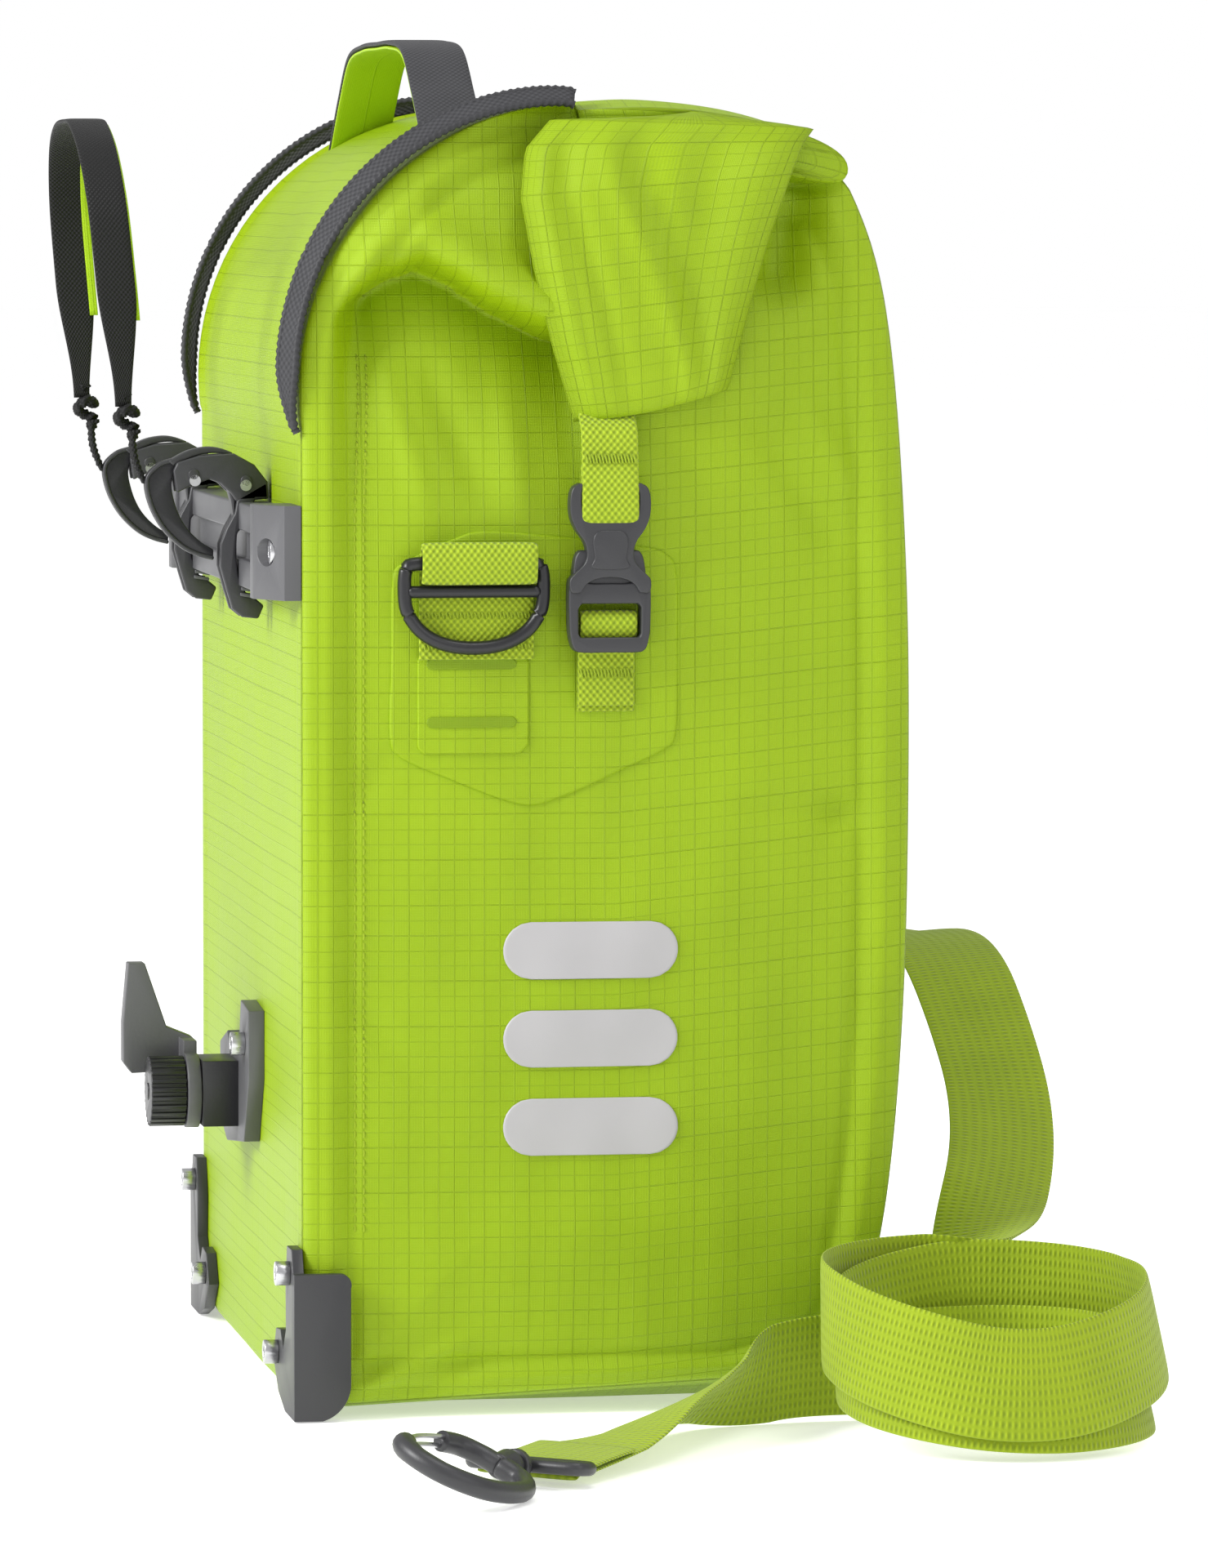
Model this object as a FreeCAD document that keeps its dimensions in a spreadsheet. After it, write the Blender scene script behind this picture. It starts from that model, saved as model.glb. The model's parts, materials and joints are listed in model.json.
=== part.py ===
import FreeCAD, Part
import Sketcher
import math
import os
from FreeCAD import Placement, Rotation, Vector

# A roll-top pannier bag with its rack hooks, lower clamp, corner guards and shoulder strap.
# Frame: millimetres, +Z up. X runs along the bag's width, parallel to the bicycle rack.
# The rack side faces +Y and the outer side faces -Y. The bag stands on z = 0.
# Heights are z. Depths are measured from the rack-side panel towards the outer side.

doc = FreeCAD.newDocument("pannier_bag")
sheet = doc.addObject("Spreadsheet::Sheet", "sizes")

SIZES = [
    # bag body
    ("bag_width", 300, "across the two end panels"),
    ("bag_depth", 200, "rack panel to outer seam"),
    ("outer_bulge", 13.5, "outer panel beyond its seams"),
    ("arch_start", 345, "height where the rack panel starts to arch"),
    ("arch_top", 459, "height where the arch meets the roll"),
    ("arch_end", 96, "depth where the arch meets the roll"),
    ("base_lift", 7, "rise of the soft base at the outer side"),
    ("base_flat", 152, "depth of the flat part of the base"),
    ("fabric", 1, "coated fabric with its backing"),
    ("strap_reach", 60, "pull strap's farthest reach from the rack panel"),
    # closure
    ("roll_shoulder", 436, "height of the rolled closure's underside"),
    ("roll_lip", 418, "height where the roll meets the outer panel"),
    ("roll_overhang", 15, "roll past each end panel"),
    ("roll_layers", 2.5, "layers of fabric round the roll"),
    ("flap_thickness", 6, "folded roll end"),
    ("flap_low", 350, "height of the folded end's lower corner"),
    ("flap_high", 361, "height of its outer lower corner"),
    # stiffening and trim
    ("board_thickness", 2.5, "plastic back board"),
    ("board_margin", 14, "back board inside the panel's edges"),
    ("board_height", 320, "back board"),
    ("trim_width", 9, "edge trim on the arch"),
    ("trim_thickness", 2.5, "edge trim"),
    ("handle_width", 23, "carry handle webbing"),
    ("handle_thickness", 2, "carry handle webbing"),
    ("handle_lining", 1.2, "lining under the handle"),
    ("handle_depth", 57, "handle centre behind the rack panel"),
    ("handle_top", 484, "height of the handle"),
    ("handle_flat", 130, "flat middle of the handle"),
    ("handle_foot", 436, "height that the handle's legs are drawn down to"),
    # end panel hardware
    ("patch_thickness", 0.6, "welded patch"),
    ("webbing_narrow", 20, "buckle webbing width"),
    ("webbing_wide", 40, "ring webbing width"),
    ("webbing_thickness", 1.6, "all webbing"),
    ("buckle_depth", 106, "buckle centre behind the rack panel"),
    ("buckle_width", 28.5, "side-release buckle"),
    ("buckle_low", 266, "height of the buckle's lower edge"),
    ("buckle_joint", 300, "height where its halves meet"),
    ("buckle_top", 324, "height of the buckle's upper edge"),
    ("buckle_thickness", 9.5, "buckle, outwards"),
    ("buckle_fit", 0.5, "gap around the buckle's tongue"),
    ("ring_depth", 59, "D-ring centre behind the rack panel"),
    ("ring_width", 53, "D-ring outside"),
    ("ring_bar_height", 288, "height of the D-ring's bar"),
    ("ring_drop", 21, "D-ring below its bar"),
    ("ring_wire", 4.6, "D-ring section"),
    ("ring_tilt", 20, "degrees that the right D-ring is pulled out by the strap"),
    ("label_start", 26, "label above the arch's start"),
    ("label_height", 42, "label"),
    ("label_width", 34, "label's far edge from the trim"),
    ("print_thickness", 0.3, "reflective bars"),
    ("print_width", 62, "reflective bars"),
    ("print_low", 92, "height of the lowest bar"),
    ("print_bar", 20, "height of one bar"),
    ("print_gap", 11, "gap between bars"),
    # rack rail and hooks
    ("rail_low", 288, "height of the rail's underside"),
    ("rail_height", 30, "rail"),
    ("rail_depth", 12, "rail, outwards"),
    ("rail_length", 236, "rail between its end housings"),
    ("rail_groove", 3, "groove along the rail"),
    ("housing_length", 27, "rail end housing along X"),
    ("housing_depth", 14.8, "rail end housing, outwards"),
    ("housing_height", 33, "rail end housing"),
    ("hook_left_x", -60, "left hook's middle"),
    ("hook_right_x", 80, "right hook's middle"),
    ("hook_thickness", 12, "hook along X"),
    ("hook_fit", 0.35, "gap between hook and rail"),
    ("lever_thickness", 6, "locking lever along X"),
    ("lever_gap", 0.4, "gap each side of the lever"),
    ("tube_radius", 8, "rack tube that the hooks seat on"),
    ("tube_depth", 23.4, "rack tube's axis from the rack panel"),
    ("tube_height", 312.5, "height of the rack tube's axis"),
    ("pivot_depth", 27.7, "lever pivot's distance from the rack panel"),
    ("pivot_height", 325.8, "height of the lever pivot"),
    ("pin_radius", 2, "hook pins"),
    ("pin_fit", 0.05, "gap around the pivot pin"),
    ("pull_width", 14, "pull strap webbing width"),
    ("pull_top", 455, "height of the pull strap"),
    ("pull_thickness", 1.8, "pull strap webbing"),
    ("pull_cord", 2.4, "cords at the pull strap's ends"),
    # lower clamp
    ("clamp_height", 100.5, "height of the clamp's axis"),
    ("clamp_plate_width", 84, "clamp base plate"),
    ("clamp_plate_height", 50, "clamp base plate"),
    ("clamp_plate", 6, "clamp base plate thickness"),
    ("clamp_block", 13, "clamp carriage, outwards"),
    ("carriage_width", 26, "clamp carriage along X"),
    ("carriage_height", 24, "clamp carriage"),
    ("knob_radius", 12.8, "knob"),
    ("knob_length", 13, "knob"),
    ("finger_ring", 5, "finger's ring thickness"),
    ("finger_reach", 45, "finger's farthest distance from the rack panel"),
    ("finger_top", 146, "height of the finger's tip"),
    ("finger_width", 9, "finger along X"),
    ("clamp_fit", 0.3, "gap between turning clamp pieces"),
    # corner guards and fasteners
    ("guard_height", 60, "corner guard on the rack panel"),
    ("guard_side", 52, "corner guard on the end panel"),
    ("guard_wrap", 16, "corner guard along the end panel"),
    ("guard_reach", 58, "corner guard along the rack panel"),
    ("guard_wall", 4, "corner guard"),
    ("screw_head_radius", 4.25, "M5 socket cap head"),
    ("screw_head_height", 5, "M5 socket cap head"),
    ("screw_radius", 2.5, "M5 shank"),
    ("screw_hole_fit", 0.08, "gap around a shank"),
    ("socket_radius", 2.3, "hexagon socket, corner to centre"),
    ("nut_radius", 4.6, "nut and washer inside"),
    ("nut_height", 4, "nut and washer inside"),
    # shoulder strap
    ("strap_section", 8.8, "tube of the strap's cross-section area"),
    ("coil_along_x", 62, "coil's outer half-size along X"),
    ("coil_along_y", 66, "coil's outer half-size along Y"),
    ("coil_wall", 7, "coil's wall"),
    ("coil_height", 64, "coil"),
    ("snap_length", 52, "snap hook's ring"),
    ("snap_width", 42, "snap hook's ring"),
    ("snap_section", 8, "snap hook's body"),
    ("snap_gate_radius", 1.3, "snap hook's wire gate"),
]
for row, (alias, number, note) in enumerate(SIZES, start=1):
    sheet.set("A%d" % row, alias)
    sheet.set("B%d" % row, str(number))
    sheet.set("C%d" % row, note)
    sheet.setAlias("B%d" % row, alias)
doc.recompute()


def size(alias):
    return float(sheet.get(alias))


nodes = []
PANEL_Y = "(sizes.bag_depth + sizes.outer_bulge - sizes.strap_reach) / 2"
panel_y = (size("bag_depth") + size("outer_bulge") - size("strap_reach")) / 2
half_width = size("bag_width") / 2
SIDES = (("left", -1), ("right", 1))


# ---------- helpers ----------

def keep(obj, label):
    """Give an object its node name and list it for export."""
    obj.Label = label
    nodes.append(obj)
    return obj


def bind(obj, **expressions):
    """Bind properties to the sheet; a double underscore stands for a dot."""
    for prop, expression in expressions.items():
        obj.setExpression(prop.replace("__", "."), expression)
    return obj


def at(obj, x="0", y="0", z="0"):
    """Bind an object's place to the sheet."""
    obj.setExpression("Placement.Base.x", x)
    obj.setExpression("Placement.Base.y", y)
    obj.setExpression("Placement.Base.z", z)
    return obj


def box(name, x, y, z, dx, dy, dz):
    """A box from its lowest corner, with every size an expression."""
    piece = doc.addObject("Part::Box", name)
    bind(piece, Length=dx, Width=dy, Height=dz)
    return at(piece, x, y, z)


AXES = {"x": Rotation(Vector(0, 1, 0), 90), "y": Rotation(Vector(1, 0, 0), -90), "z": Rotation()}


def rod(name, radius, length, x, y, z, axis="z"):
    """A cylinder that starts at a point and runs along +axis."""
    piece = doc.addObject("Part::Cylinder", name)
    piece.Placement.Rotation = AXES[axis]
    bind(piece, Radius=radius, Height=length)
    return at(piece, x, y, z)


def fuse(name, *pieces):
    joined = doc.addObject("Part::MultiFuse", name)
    joined.Shapes = list(pieces)
    joined.Refine = True
    return joined


def feature(label, shape):
    """A sub-part whose shape is made with Part's own functions."""
    piece = doc.addObject("Part::Feature", label)
    piece.Shape = shape
    return keep(piece, label)


def outline(start, *steps):
    """A closed face in (depth, height). A step is a point, or (through, to) for an arc."""
    edges = []
    here = Vector(0, panel_y - start[0], start[1])
    first = here
    for step in steps:
        if isinstance(step[0], tuple):
            through, end = [Vector(0, panel_y - p[0], p[1]) for p in step]
            edges.append(Part.Arc(here, through, end).toShape())
        else:
            end = Vector(0, panel_y - step[0], step[1])
            edges.append(Part.LineSegment(here, end).toShape())
        here = end
    if here.distanceToPoint(first) > 1e-6:
        edges.append(Part.LineSegment(here, first).toShape())
    return Part.Face(Part.Wire(edges))


def slab(face, x_from, x_to):
    """A face in (depth, height) carried along X."""
    shape = face.copy()
    shape.translate(Vector(min(x_from, x_to), 0, 0))
    return shape.extrude(Vector(abs(x_to - x_from), 0, 0))


def origin_plane(body, role):
    for item in body.Origin.OriginFeatures:
        if item.Role == role:
            return item
    raise RuntimeError("no origin plane " + role)


def new_sketch(body, name, role="XY_Plane", lift=None):
    sketch = body.newObject("Sketcher::SketchObject", name)
    sketch.AttachmentSupport = [(origin_plane(body, role), "")]
    sketch.MapMode = "FlatFace"
    if lift:
        sketch.setExpression("AttachmentOffset.Base.z", lift)
    return sketch


def rectangle(sketch, width, height, low_x=None, low_y=None):
    """A rectangle sized by two expressions, centred unless its low corner is given."""
    corners = [(-5, -4), (5, -4), (5, 4), (-5, 4)]
    for number in range(4):
        first, second = corners[number], corners[(number + 1) % 4]
        sketch.addGeometry(Part.LineSegment(Vector(*first, 0), Vector(*second, 0)), False)
    for number in range(4):
        sketch.addConstraint(Sketcher.Constraint("Coincident", number, 2, (number + 1) % 4, 1))
    for number, kind in ((0, "Horizontal"), (1, "Vertical"), (2, "Horizontal"), (3, "Vertical")):
        sketch.addConstraint(Sketcher.Constraint(kind, number))
    wide = sketch.addConstraint(Sketcher.Constraint("DistanceX", 0, 1, 0, 2, 10))
    tall = sketch.addConstraint(Sketcher.Constraint("DistanceY", 1, 1, 1, 2, 8))
    sketch.setExpression("Constraints[%d]" % wide, width)
    sketch.setExpression("Constraints[%d]" % tall, height)
    if low_x is None:
        sketch.addConstraint(Sketcher.Constraint("Symmetric", 0, 1, 1, 2, -1, 1))
    else:
        place_x = sketch.addConstraint(Sketcher.Constraint("DistanceX", -1, 1, 0, 1, 1))
        place_y = sketch.addConstraint(Sketcher.Constraint("DistanceY", -1, 1, 0, 1, 1))
        sketch.setExpression("Constraints[%d]" % place_x, low_x)
        sketch.setExpression("Constraints[%d]" % place_y, low_y)
    return sketch


def circle(sketch, radius, x=None, y=None):
    """A circle sized by an expression, at the origin unless its centre is given."""
    number = sketch.addGeometry(Part.Circle(Vector(1, 1, 0), Vector(0, 0, 1), 3), False)
    if x is None:
        sketch.addConstraint(Sketcher.Constraint("Coincident", number, 3, -1, 1))
    else:
        place_x = sketch.addConstraint(Sketcher.Constraint("DistanceX", -1, 1, number, 3, 1))
        place_y = sketch.addConstraint(Sketcher.Constraint("DistanceY", -1, 1, number, 3, 1))
        sketch.setExpression("Constraints[%d]" % place_x, x)
        sketch.setExpression("Constraints[%d]" % place_y, y)
    round_size = sketch.addConstraint(Sketcher.Constraint("Radius", number, 3))
    sketch.setExpression("Constraints[%d]" % round_size, radius)
    return sketch


def pad(body, name, sketch, length, both_ways=False):
    grown = body.newObject("PartDesign::Pad", name)
    grown.Profile = sketch
    grown.Length = 10
    grown.setExpression("Length", length)
    grown.Midplane = both_ways
    return grown


def pocket(body, name, sketch):
    """A pocket through the whole body, checked for having cut something."""
    before = body.Shape.Volume
    sunk = body.newObject("PartDesign::Pocket", name)
    sunk.Profile = sketch
    sunk.Type = 1
    sunk.Midplane = True
    doc.recompute()
    if not body.Shape.Volume < before:
        raise RuntimeError(name + " cut nothing")
    return sunk


# ---------- the fabric body ----------

def body_outline():
    """The bag's section: flat rack panel, arch over the top, bulged outer panel, soft base."""
    depth = size("bag_depth")
    corner = 8
    return outline(
        (corner, 0),
        ((corner * 0.3, corner * 0.3), (0, corner)),
        (0, size("arch_start")),
        ((size("arch_end") * 0.21, size("arch_top") - 38), (size("arch_end"), size("arch_top"))),
        (size("arch_end") + 4, size("roll_shoulder")),
        ((depth * 0.75, size("roll_shoulder") - 2), (depth - 12, size("roll_lip"))),
        ((depth + size("outer_bulge"), size("roll_lip") * 0.54), (depth, 42)),
        ((depth - 7, size("base_lift") + 11), (depth - 24, size("base_lift"))),
        (size("base_flat"), 0),
    )


def arch_circle():
    """Centre and radius, in (depth, height), of the arc that the rack panel arches along."""
    points = [Vector(0, size("arch_start"), 0), Vector(size("arch_end") * 0.21, size("arch_top") - 38, 0),
              Vector(size("arch_end"), size("arch_top"), 0)]
    circle_of = Part.Arc(*points).toShape().Curve
    return circle_of.Center, circle_of.Radius


def on_arch(height, out):
    """The point a distance out from the arch, on its radius through a height."""
    centre, radius = arch_circle()
    sine = (height - centre.y) / radius
    lean = math.sqrt(1 - sine * sine)
    return (centre.x - (radius + out) * lean, centre.y + (radius + out) * sine)


def arch_band(low, high, near, far, end=None):
    """A band that follows the arch between two heights and two distances out from it."""
    middle = low + (high - low) * 0.62
    stop_near = end or on_arch(high, near)
    stop_far = on_arch(high, far) if end is None else (end[0], end[1] + far)
    return outline(on_arch(low, near), (on_arch(middle, near), stop_near), stop_far,
                   (on_arch(middle, far), on_arch(low, far)))


def make_fabric():
    """Five panels welded along their edges: a ring of three, and one at each end."""
    face = body_outline()
    wall = size("fabric")
    inside = face.makeOffset2D(-wall)
    ring = slab(face, wall - half_width, half_width - wall)
    ring = ring.cut(slab(Part.Face(inside.Wires[0]), -half_width, half_width))
    deep, high = size("bag_depth") + 60, size("arch_top") + 60
    top_seam = size("arch_end") + 2
    regions = {
        "back_panel": [(-60, -60), (45, 45), (45, 380), (top_seam, 420), (top_seam, high), (-60, high)],
        "outer_panel": [(top_seam, high), (top_seam, 420), (150, 380), (150, 50), (deep, -60),
            (deep, high)],
        "base_panel": [(-60, -60), (45, 45), (150, 50), (deep, -60)],
    }
    for label, corners in regions.items():
        wedge = slab(outline(*corners), -half_width, half_width)
        feature(label, ring.common(wedge).removeSplitter())
    for side, sign in SIDES:
        feature("end_panel_" + side, slab(face, sign * (half_width - wall), sign * half_width))


def make_closure():
    """The opening rolled down on itself, and its two ends folded against the end panels."""
    depth = size("bag_depth")
    under = ((depth * 0.75, size("roll_shoulder") - 2), (depth - 12, size("roll_lip")))
    start = (size("arch_end") + 4, size("roll_shoulder"))
    reach = half_width + size("roll_overhang")
    roll = outline(
        start, under,
        ((depth - 5, size("roll_lip") + 18), (depth - 20, size("roll_shoulder") + 13)),
        ((depth * 0.7, size("arch_top") + 1.5), (size("arch_end") + 1, size("arch_top"))),
    )
    layers = size("roll_layers")
    hollow = Part.Face(roll.makeOffset2D(-layers).Wires[0])
    feature("roll_closure", slab(roll, -reach, reach).cut(slab(hollow, layers - reach, reach - layers)))
    flap = outline(start, under, (depth - 48, size("flap_high")), (depth - 101, size("flap_low")))
    for side, sign in SIDES:
        feature("roll_end_" + side, slab(flap, sign * (reach - size("flap_thickness")), sign * reach))


def make_trims():
    """A woven edge trim along the arch at each end, from its tip to the roll."""
    end = (size("arch_end"), size("arch_top"))
    band = arch_band(size("arch_start"), size("arch_top"), 0, size("trim_thickness"), end)
    for side, sign in SIDES:
        inner = sign * (half_width - size("trim_width"))
        feature("edge_trim_" + side, slab(band, inner, sign * half_width))


def arch(width, foot, top, flat, span, thick):
    """A strap bent over a flat top with a foot at each end, centred on X = 0."""
    rise = top - foot
    lean = (span - flat) / 2
    inner = [Vector(-span / 2 + thick, 0, foot), Vector(-flat / 2, 0, top - thick)]
    inner += [Vector(-v.x, 0, v.z) for v in reversed(inner)]
    outer = [Vector(-span / 2, 0, foot), Vector(-flat / 2 - thick * lean / rise / 4, 0, top)]
    outer += [Vector(-v.x, 0, v.z) for v in reversed(outer)]
    loop = Part.makePolygon(outer + inner[::-1] + [outer[0]])
    solid = Part.Face(loop).extrude(Vector(0, width, 0))
    solid.translate(Vector(0, -width / 2, 0))
    return solid


def make_handle():
    """Carry handle: ribbed webbing over a softer lining, from one edge trim to the other."""
    wide, thick, lining = size("handle_width"), size("handle_thickness"), size("handle_lining")
    span = size("bag_width") - 2 * size("trim_width") - 4
    middle = Vector(0, panel_y - size("handle_depth"), 0)
    webbing = arch(wide, size("handle_foot"), size("handle_top"), size("handle_flat"), span, thick)
    webbing.translate(middle)
    crown = slab(body_outline(), -half_width, half_width)
    crown.translate(Vector(0, 0, 0.3))
    webbing = webbing.cut(crown)
    feature("carry_handle", webbing)
    under = arch(wide - 3, size("handle_foot"), size("handle_top") - thick, size("handle_flat"),
                 span - 2 * thick, lining)
    under.translate(middle)
    feature("handle_lining", under.cut(webbing).cut(crown))


def make_board():
    """The plastic sheet behind the rack panel that every bolt goes through."""
    body = doc.addObject("PartDesign::Body", "back_board")
    sketch = new_sketch(body, "board_outline", "XZ_Plane")
    rectangle(sketch, "sizes.bag_width - 2 * sizes.board_margin", "sizes.board_height")
    pad(body, "board_sheet", sketch, "sizes.board_thickness")
    at(body, "0", PANEL_Y + " - sizes.fabric", "sizes.board_height / 2 + sizes.board_margin")
    keep(body, "back_board")
    low = size("arch_start") + size("label_start")
    inner = size("trim_width") - half_width
    feature("fabric_label", slab(arch_band(low, low + size("label_height"), 0.2, 1.2), inner + 0.2,
        inner + size("label_width")))


# ---------- end panel hardware ----------

def patch_outline():
    """The welded patch: a rounded wedge wider towards the buckle, pointed at its foot."""
    return outline((30, 236), (30, 300), ((44, 306), (66, 311)), (122, 306), ((131, 302), (132, 294)),
                   (132, 238), (96, 220), ((80, 214), (70, 218)), (38, 232), ((32, 233), (30, 236)))


def make_patches():
    slots = [outline((43, z), ((41, z + 1.7), (43, z + 3.4)), (73, z + 3.4), ((75, z + 1.7), (73, z)))
             for z in (258, 237.5)]
    for side, sign in SIDES:
        faces = (sign * half_width, sign * (half_width + size("patch_thickness")))
        patch = slab(patch_outline(), *faces)
        for slot in slots:
            patch = patch.cut(slab(slot, *faces))
        feature("side_patch_" + side, patch)
        bars = []
        for number in range(3):
            low = size("print_low") + number * (size("print_bar") + size("print_gap"))
            high, end = low + size("print_bar"), size("print_bar") / 2
            start = 70 + end
            stop = 70 + size("print_width") - end
            bars.append(slab(outline((start, low), ((start - end, low + end), (start, high)), (stop, high),
                                     ((stop + end, low + end), (stop, low))),
                             sign * half_width, sign * (half_width + size("print_thickness"))))
        feature("reflective_bars_" + side, Part.makeCompound(bars))


def make_buckles():
    """Side-release buckles: the tongue half slides up out of the socket half."""
    web, wide = size("webbing_narrow"), size("buckle_width")
    thick = size("webbing_thickness")
    middle = size("buckle_depth")
    low, joint, top = size("buckle_low"), size("buckle_joint"), size("buckle_top")
    fit = size("buckle_fit")
    for side, sign in SIDES:
        skin = half_width + size("patch_thickness")
        back = skin + thick
        front = back + size("buckle_thickness")

        def block(x_from, x_to, width, z_from, z_to):
            return slab(outline((middle - width / 2, z_from), (middle - width / 2, z_to),
                                (middle + width / 2, z_to), (middle + width / 2, z_from)),
                        sign * x_from, sign * x_to)

        # lower webbing: sewn down below, looped over the socket's inner bar
        strip = block(skin, back, web, low - 23, low + 12)
        over = block(back, back + 5.8, web, low + 12 - thick, low + 12)
        tail = block(back + 5.8 - thick, back + 5.8, web, low + 3, low + 12 - thick)
        feature("lower_webbing_" + side, strip.fuse([over, tail]).removeSplitter())

        socket = block(back + fit, front, wide, low, joint)
        window = block(skin, front - 2.6, wide - 6, low - 1, low + 15)
        opening = block(skin, front + 1, wide - 6, low + 4, low + 12.5)
        throat = block(back + 2, front - 1.8, wide - 3.4, low + 17, joint + 1)
        bar = block(back + fit + 0.3, back + 5.8 - thick - fit, wide - 4, low + 6, low + 9.5)
        socket = socket.cut(window).cut(opening).cut(throat).fuse(bar).removeSplitter()
        feature("buckle_socket_" + side, socket)

        tongue = block(back + 2 + fit, front - 1.8 - fit, wide - 3.4 - 2 * fit, low + 19, joint)
        between = block(back, front, 6, low + 18, joint - 5)
        tongue = tongue.cut(between)
        head = block(back + fit, front, wide, joint + fit, top)
        gate = block(skin, front + 1, wide - 6, top - 12, top - 5)
        neck = block(back + 2 + fit, front - 1.8 - fit, wide - 3.4 - 2 * fit, joint, joint + fit)
        feature("buckle_tongue_" + side, tongue.fuse([neck, head.cut(gate)]).removeSplitter())

        # upper webbing: in front of the tongue's bar, then up behind the folded roll end
        front_strip = block(front, front + thick, web, top - 11, top + 3)
        hidden = block(back + 2, front + thick, web, top + 3, top + 3 + thick)
        rise = block(back + 2, back + 2 + thick, web, top + 3 + thick, size("flap_low") + 36)
        feature("upper_webbing_" + side, front_strip.fuse([hidden, rise]).removeSplitter())


def make_rings():
    """D-rings hung from a loop of wide webbing sewn to each patch."""
    wire, drop = size("ring_wire"), size("ring_drop")
    bar_z = size("ring_bar_height")
    middle, wide, web = size("ring_depth"), size("ring_width"), size("webbing_wide")
    thick = size("webbing_thickness")
    for side, sign in SIDES:
        skin = half_width + size("patch_thickness")
        axis = skin + thick + 0.3 + wire / 2
        ring = slab(outline((middle - wide / 2, bar_z + wire / 2), (middle + wide / 2, bar_z + wire / 2),
                            (middle + wide / 2, bar_z - drop * 0.35),
                            ((middle, bar_z - drop - wire / 2), (middle - wide / 2, bar_z - drop * 0.35))),
                    sign * (axis - wire / 2), sign * (axis + wire / 2))
        hole = slab(outline((middle - wide / 2 + wire, bar_z - wire / 2), (middle + wide / 2 - wire,
            bar_z - wire / 2),
                            (middle + wide / 2 - wire, bar_z - drop * 0.35),
                            ((middle, bar_z - drop + wire / 2), (middle - wide / 2 + wire,
                                bar_z - drop * 0.35))),
                    sign * (axis - wire), sign * (axis + wire))
        ring = ring.cut(hole)
        if side == "right":
            ring.rotate(Vector(axis, panel_y, bar_z), Vector(0, 1, 0), -size("ring_tilt"))
        feature("d_ring_" + side, ring)
        gap = 0.35
        loop_out = Part.makeCylinder(wire * 0.72 + gap + thick, web,
                                     Vector(sign * axis, panel_y - middle - web / 2, bar_z),
                                         Vector(0, 1, 0))
        loop_in = Part.makeCylinder(wire * 0.72 + gap, web + 2,
                                    Vector(sign * axis, panel_y - middle - web / 2 - 1, bar_z),
                                        Vector(0, 1, 0))
        tab = slab(outline((middle - web / 2, bar_z - 16), (middle - web / 2, bar_z + 16),
                           (middle + web / 2, bar_z + 16), (middle + web / 2, bar_z - 16)),
                   sign * skin, sign * (skin + thick))
        loop = loop_out.fuse(tab).cut(loop_in)
        keep_out = slab(outline((0, 0), (0, 500), (150, 500), (150, 0)), sign * (skin - 30), sign * skin)
        loop = loop.cut(keep_out).removeSplitter()
        feature("ring_webbing_" + side, loop)


# ---------- rack rail and hooks ----------

def make_rail():
    body = doc.addObject("PartDesign::Body", "hook_rail")
    section = new_sketch(body, "rail_section", "YZ_Plane")
    rectangle(section, "sizes.rail_depth", "sizes.rail_height")
    pad(body, "rail_bar", section, "sizes.rail_length", both_ways=True)
    doc.recompute()
    groove = new_sketch(body, "rail_groove_section", "YZ_Plane")
    rectangle(groove, "sizes.rail_groove", "sizes.rail_height / 3",
              "sizes.rail_depth / 2 - sizes.rail_groove", "-sizes.rail_height / 6")
    pocket(body, "rail_front_groove", groove)
    at(body, "0", PANEL_Y + " + sizes.rail_depth / 2", "sizes.rail_low + sizes.rail_height / 2")
    keep(body, "hook_rail")
    for side, sign in SIDES:
        rail_end, out = size("rail_length") / 2, size("housing_depth")
        length, tall = size("housing_length"), size("housing_height")
        low = size("rail_low") + (size("rail_height") - tall) / 2
        corners = [(rail_end, 0), (rail_end, out), (rail_end + length * 0.35, out),
                   (rail_end + length, 6), (rail_end + length, 0)]
        plan = Part.makePolygon([Vector(sign * x, panel_y + p, low) for x, p in corners + corners[:1]])
        housing = Part.Face(plan).extrude(Vector(0, 0, tall))
        upright = [e for e in housing.Edges if abs(e.Length - tall) < 0.01 and e.CenterOfMass.y > panel_y + 7]
        housing = housing.makeFillet(2.5, upright)
        seat = Vector(sign * (rail_end + length * 0.62), panel_y, low + tall / 2)
        housing = housing.cut(Part.makeCylinder(size("screw_head_radius") + 0.6, 40, seat + Vector(0, 5, 0),
                                                Vector(0, 1, 0)))
        housing = housing.cut(Part.makeCylinder(size("screw_radius") + size("screw_hole_fit"), 20,
                                                seat - Vector(0, 1, 0), Vector(0, 1, 0)))
        feature("rail_housing_" + side, housing)


def hook_outline():
    """Hook body from the side: it grips round the rail and arches over the rack tube."""
    fit, rail_out = size("hook_fit"), size("rail_depth")
    low, high = size("rail_low"), size("rail_low") + size("rail_height")
    pivot, top = size("pivot_depth"), size("pivot_height")
    seat, seat_z, bore = size("tube_depth"), size("tube_height"), size("tube_radius")
    return outline(
        (-1, high + fit), (-1, high + 6), (-14, top + 8),
        ((-pivot + 3, top + 9), (-pivot - 6.5, top + 5)),
        ((-pivot - 8, top), (-pivot - 6.5, top - 6)),
        (-seat - bore * math.cos(math.radians(25)), seat_z + bore * math.sin(math.radians(25))),
        ((-seat, seat_z + bore), (-seat + bore, seat_z)), (-seat + bore, seat_z - bore / 2),
        (-rail_out - 8, high - 17), (-rail_out - 7.5, low + 5),
        (-rail_out - 4, low - 9), (-8, low - 12), (-3.5, low - 7), (-3.5, low - fit),
        (-rail_out - fit, low - fit), (-rail_out - fit, high + fit),
    )


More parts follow.
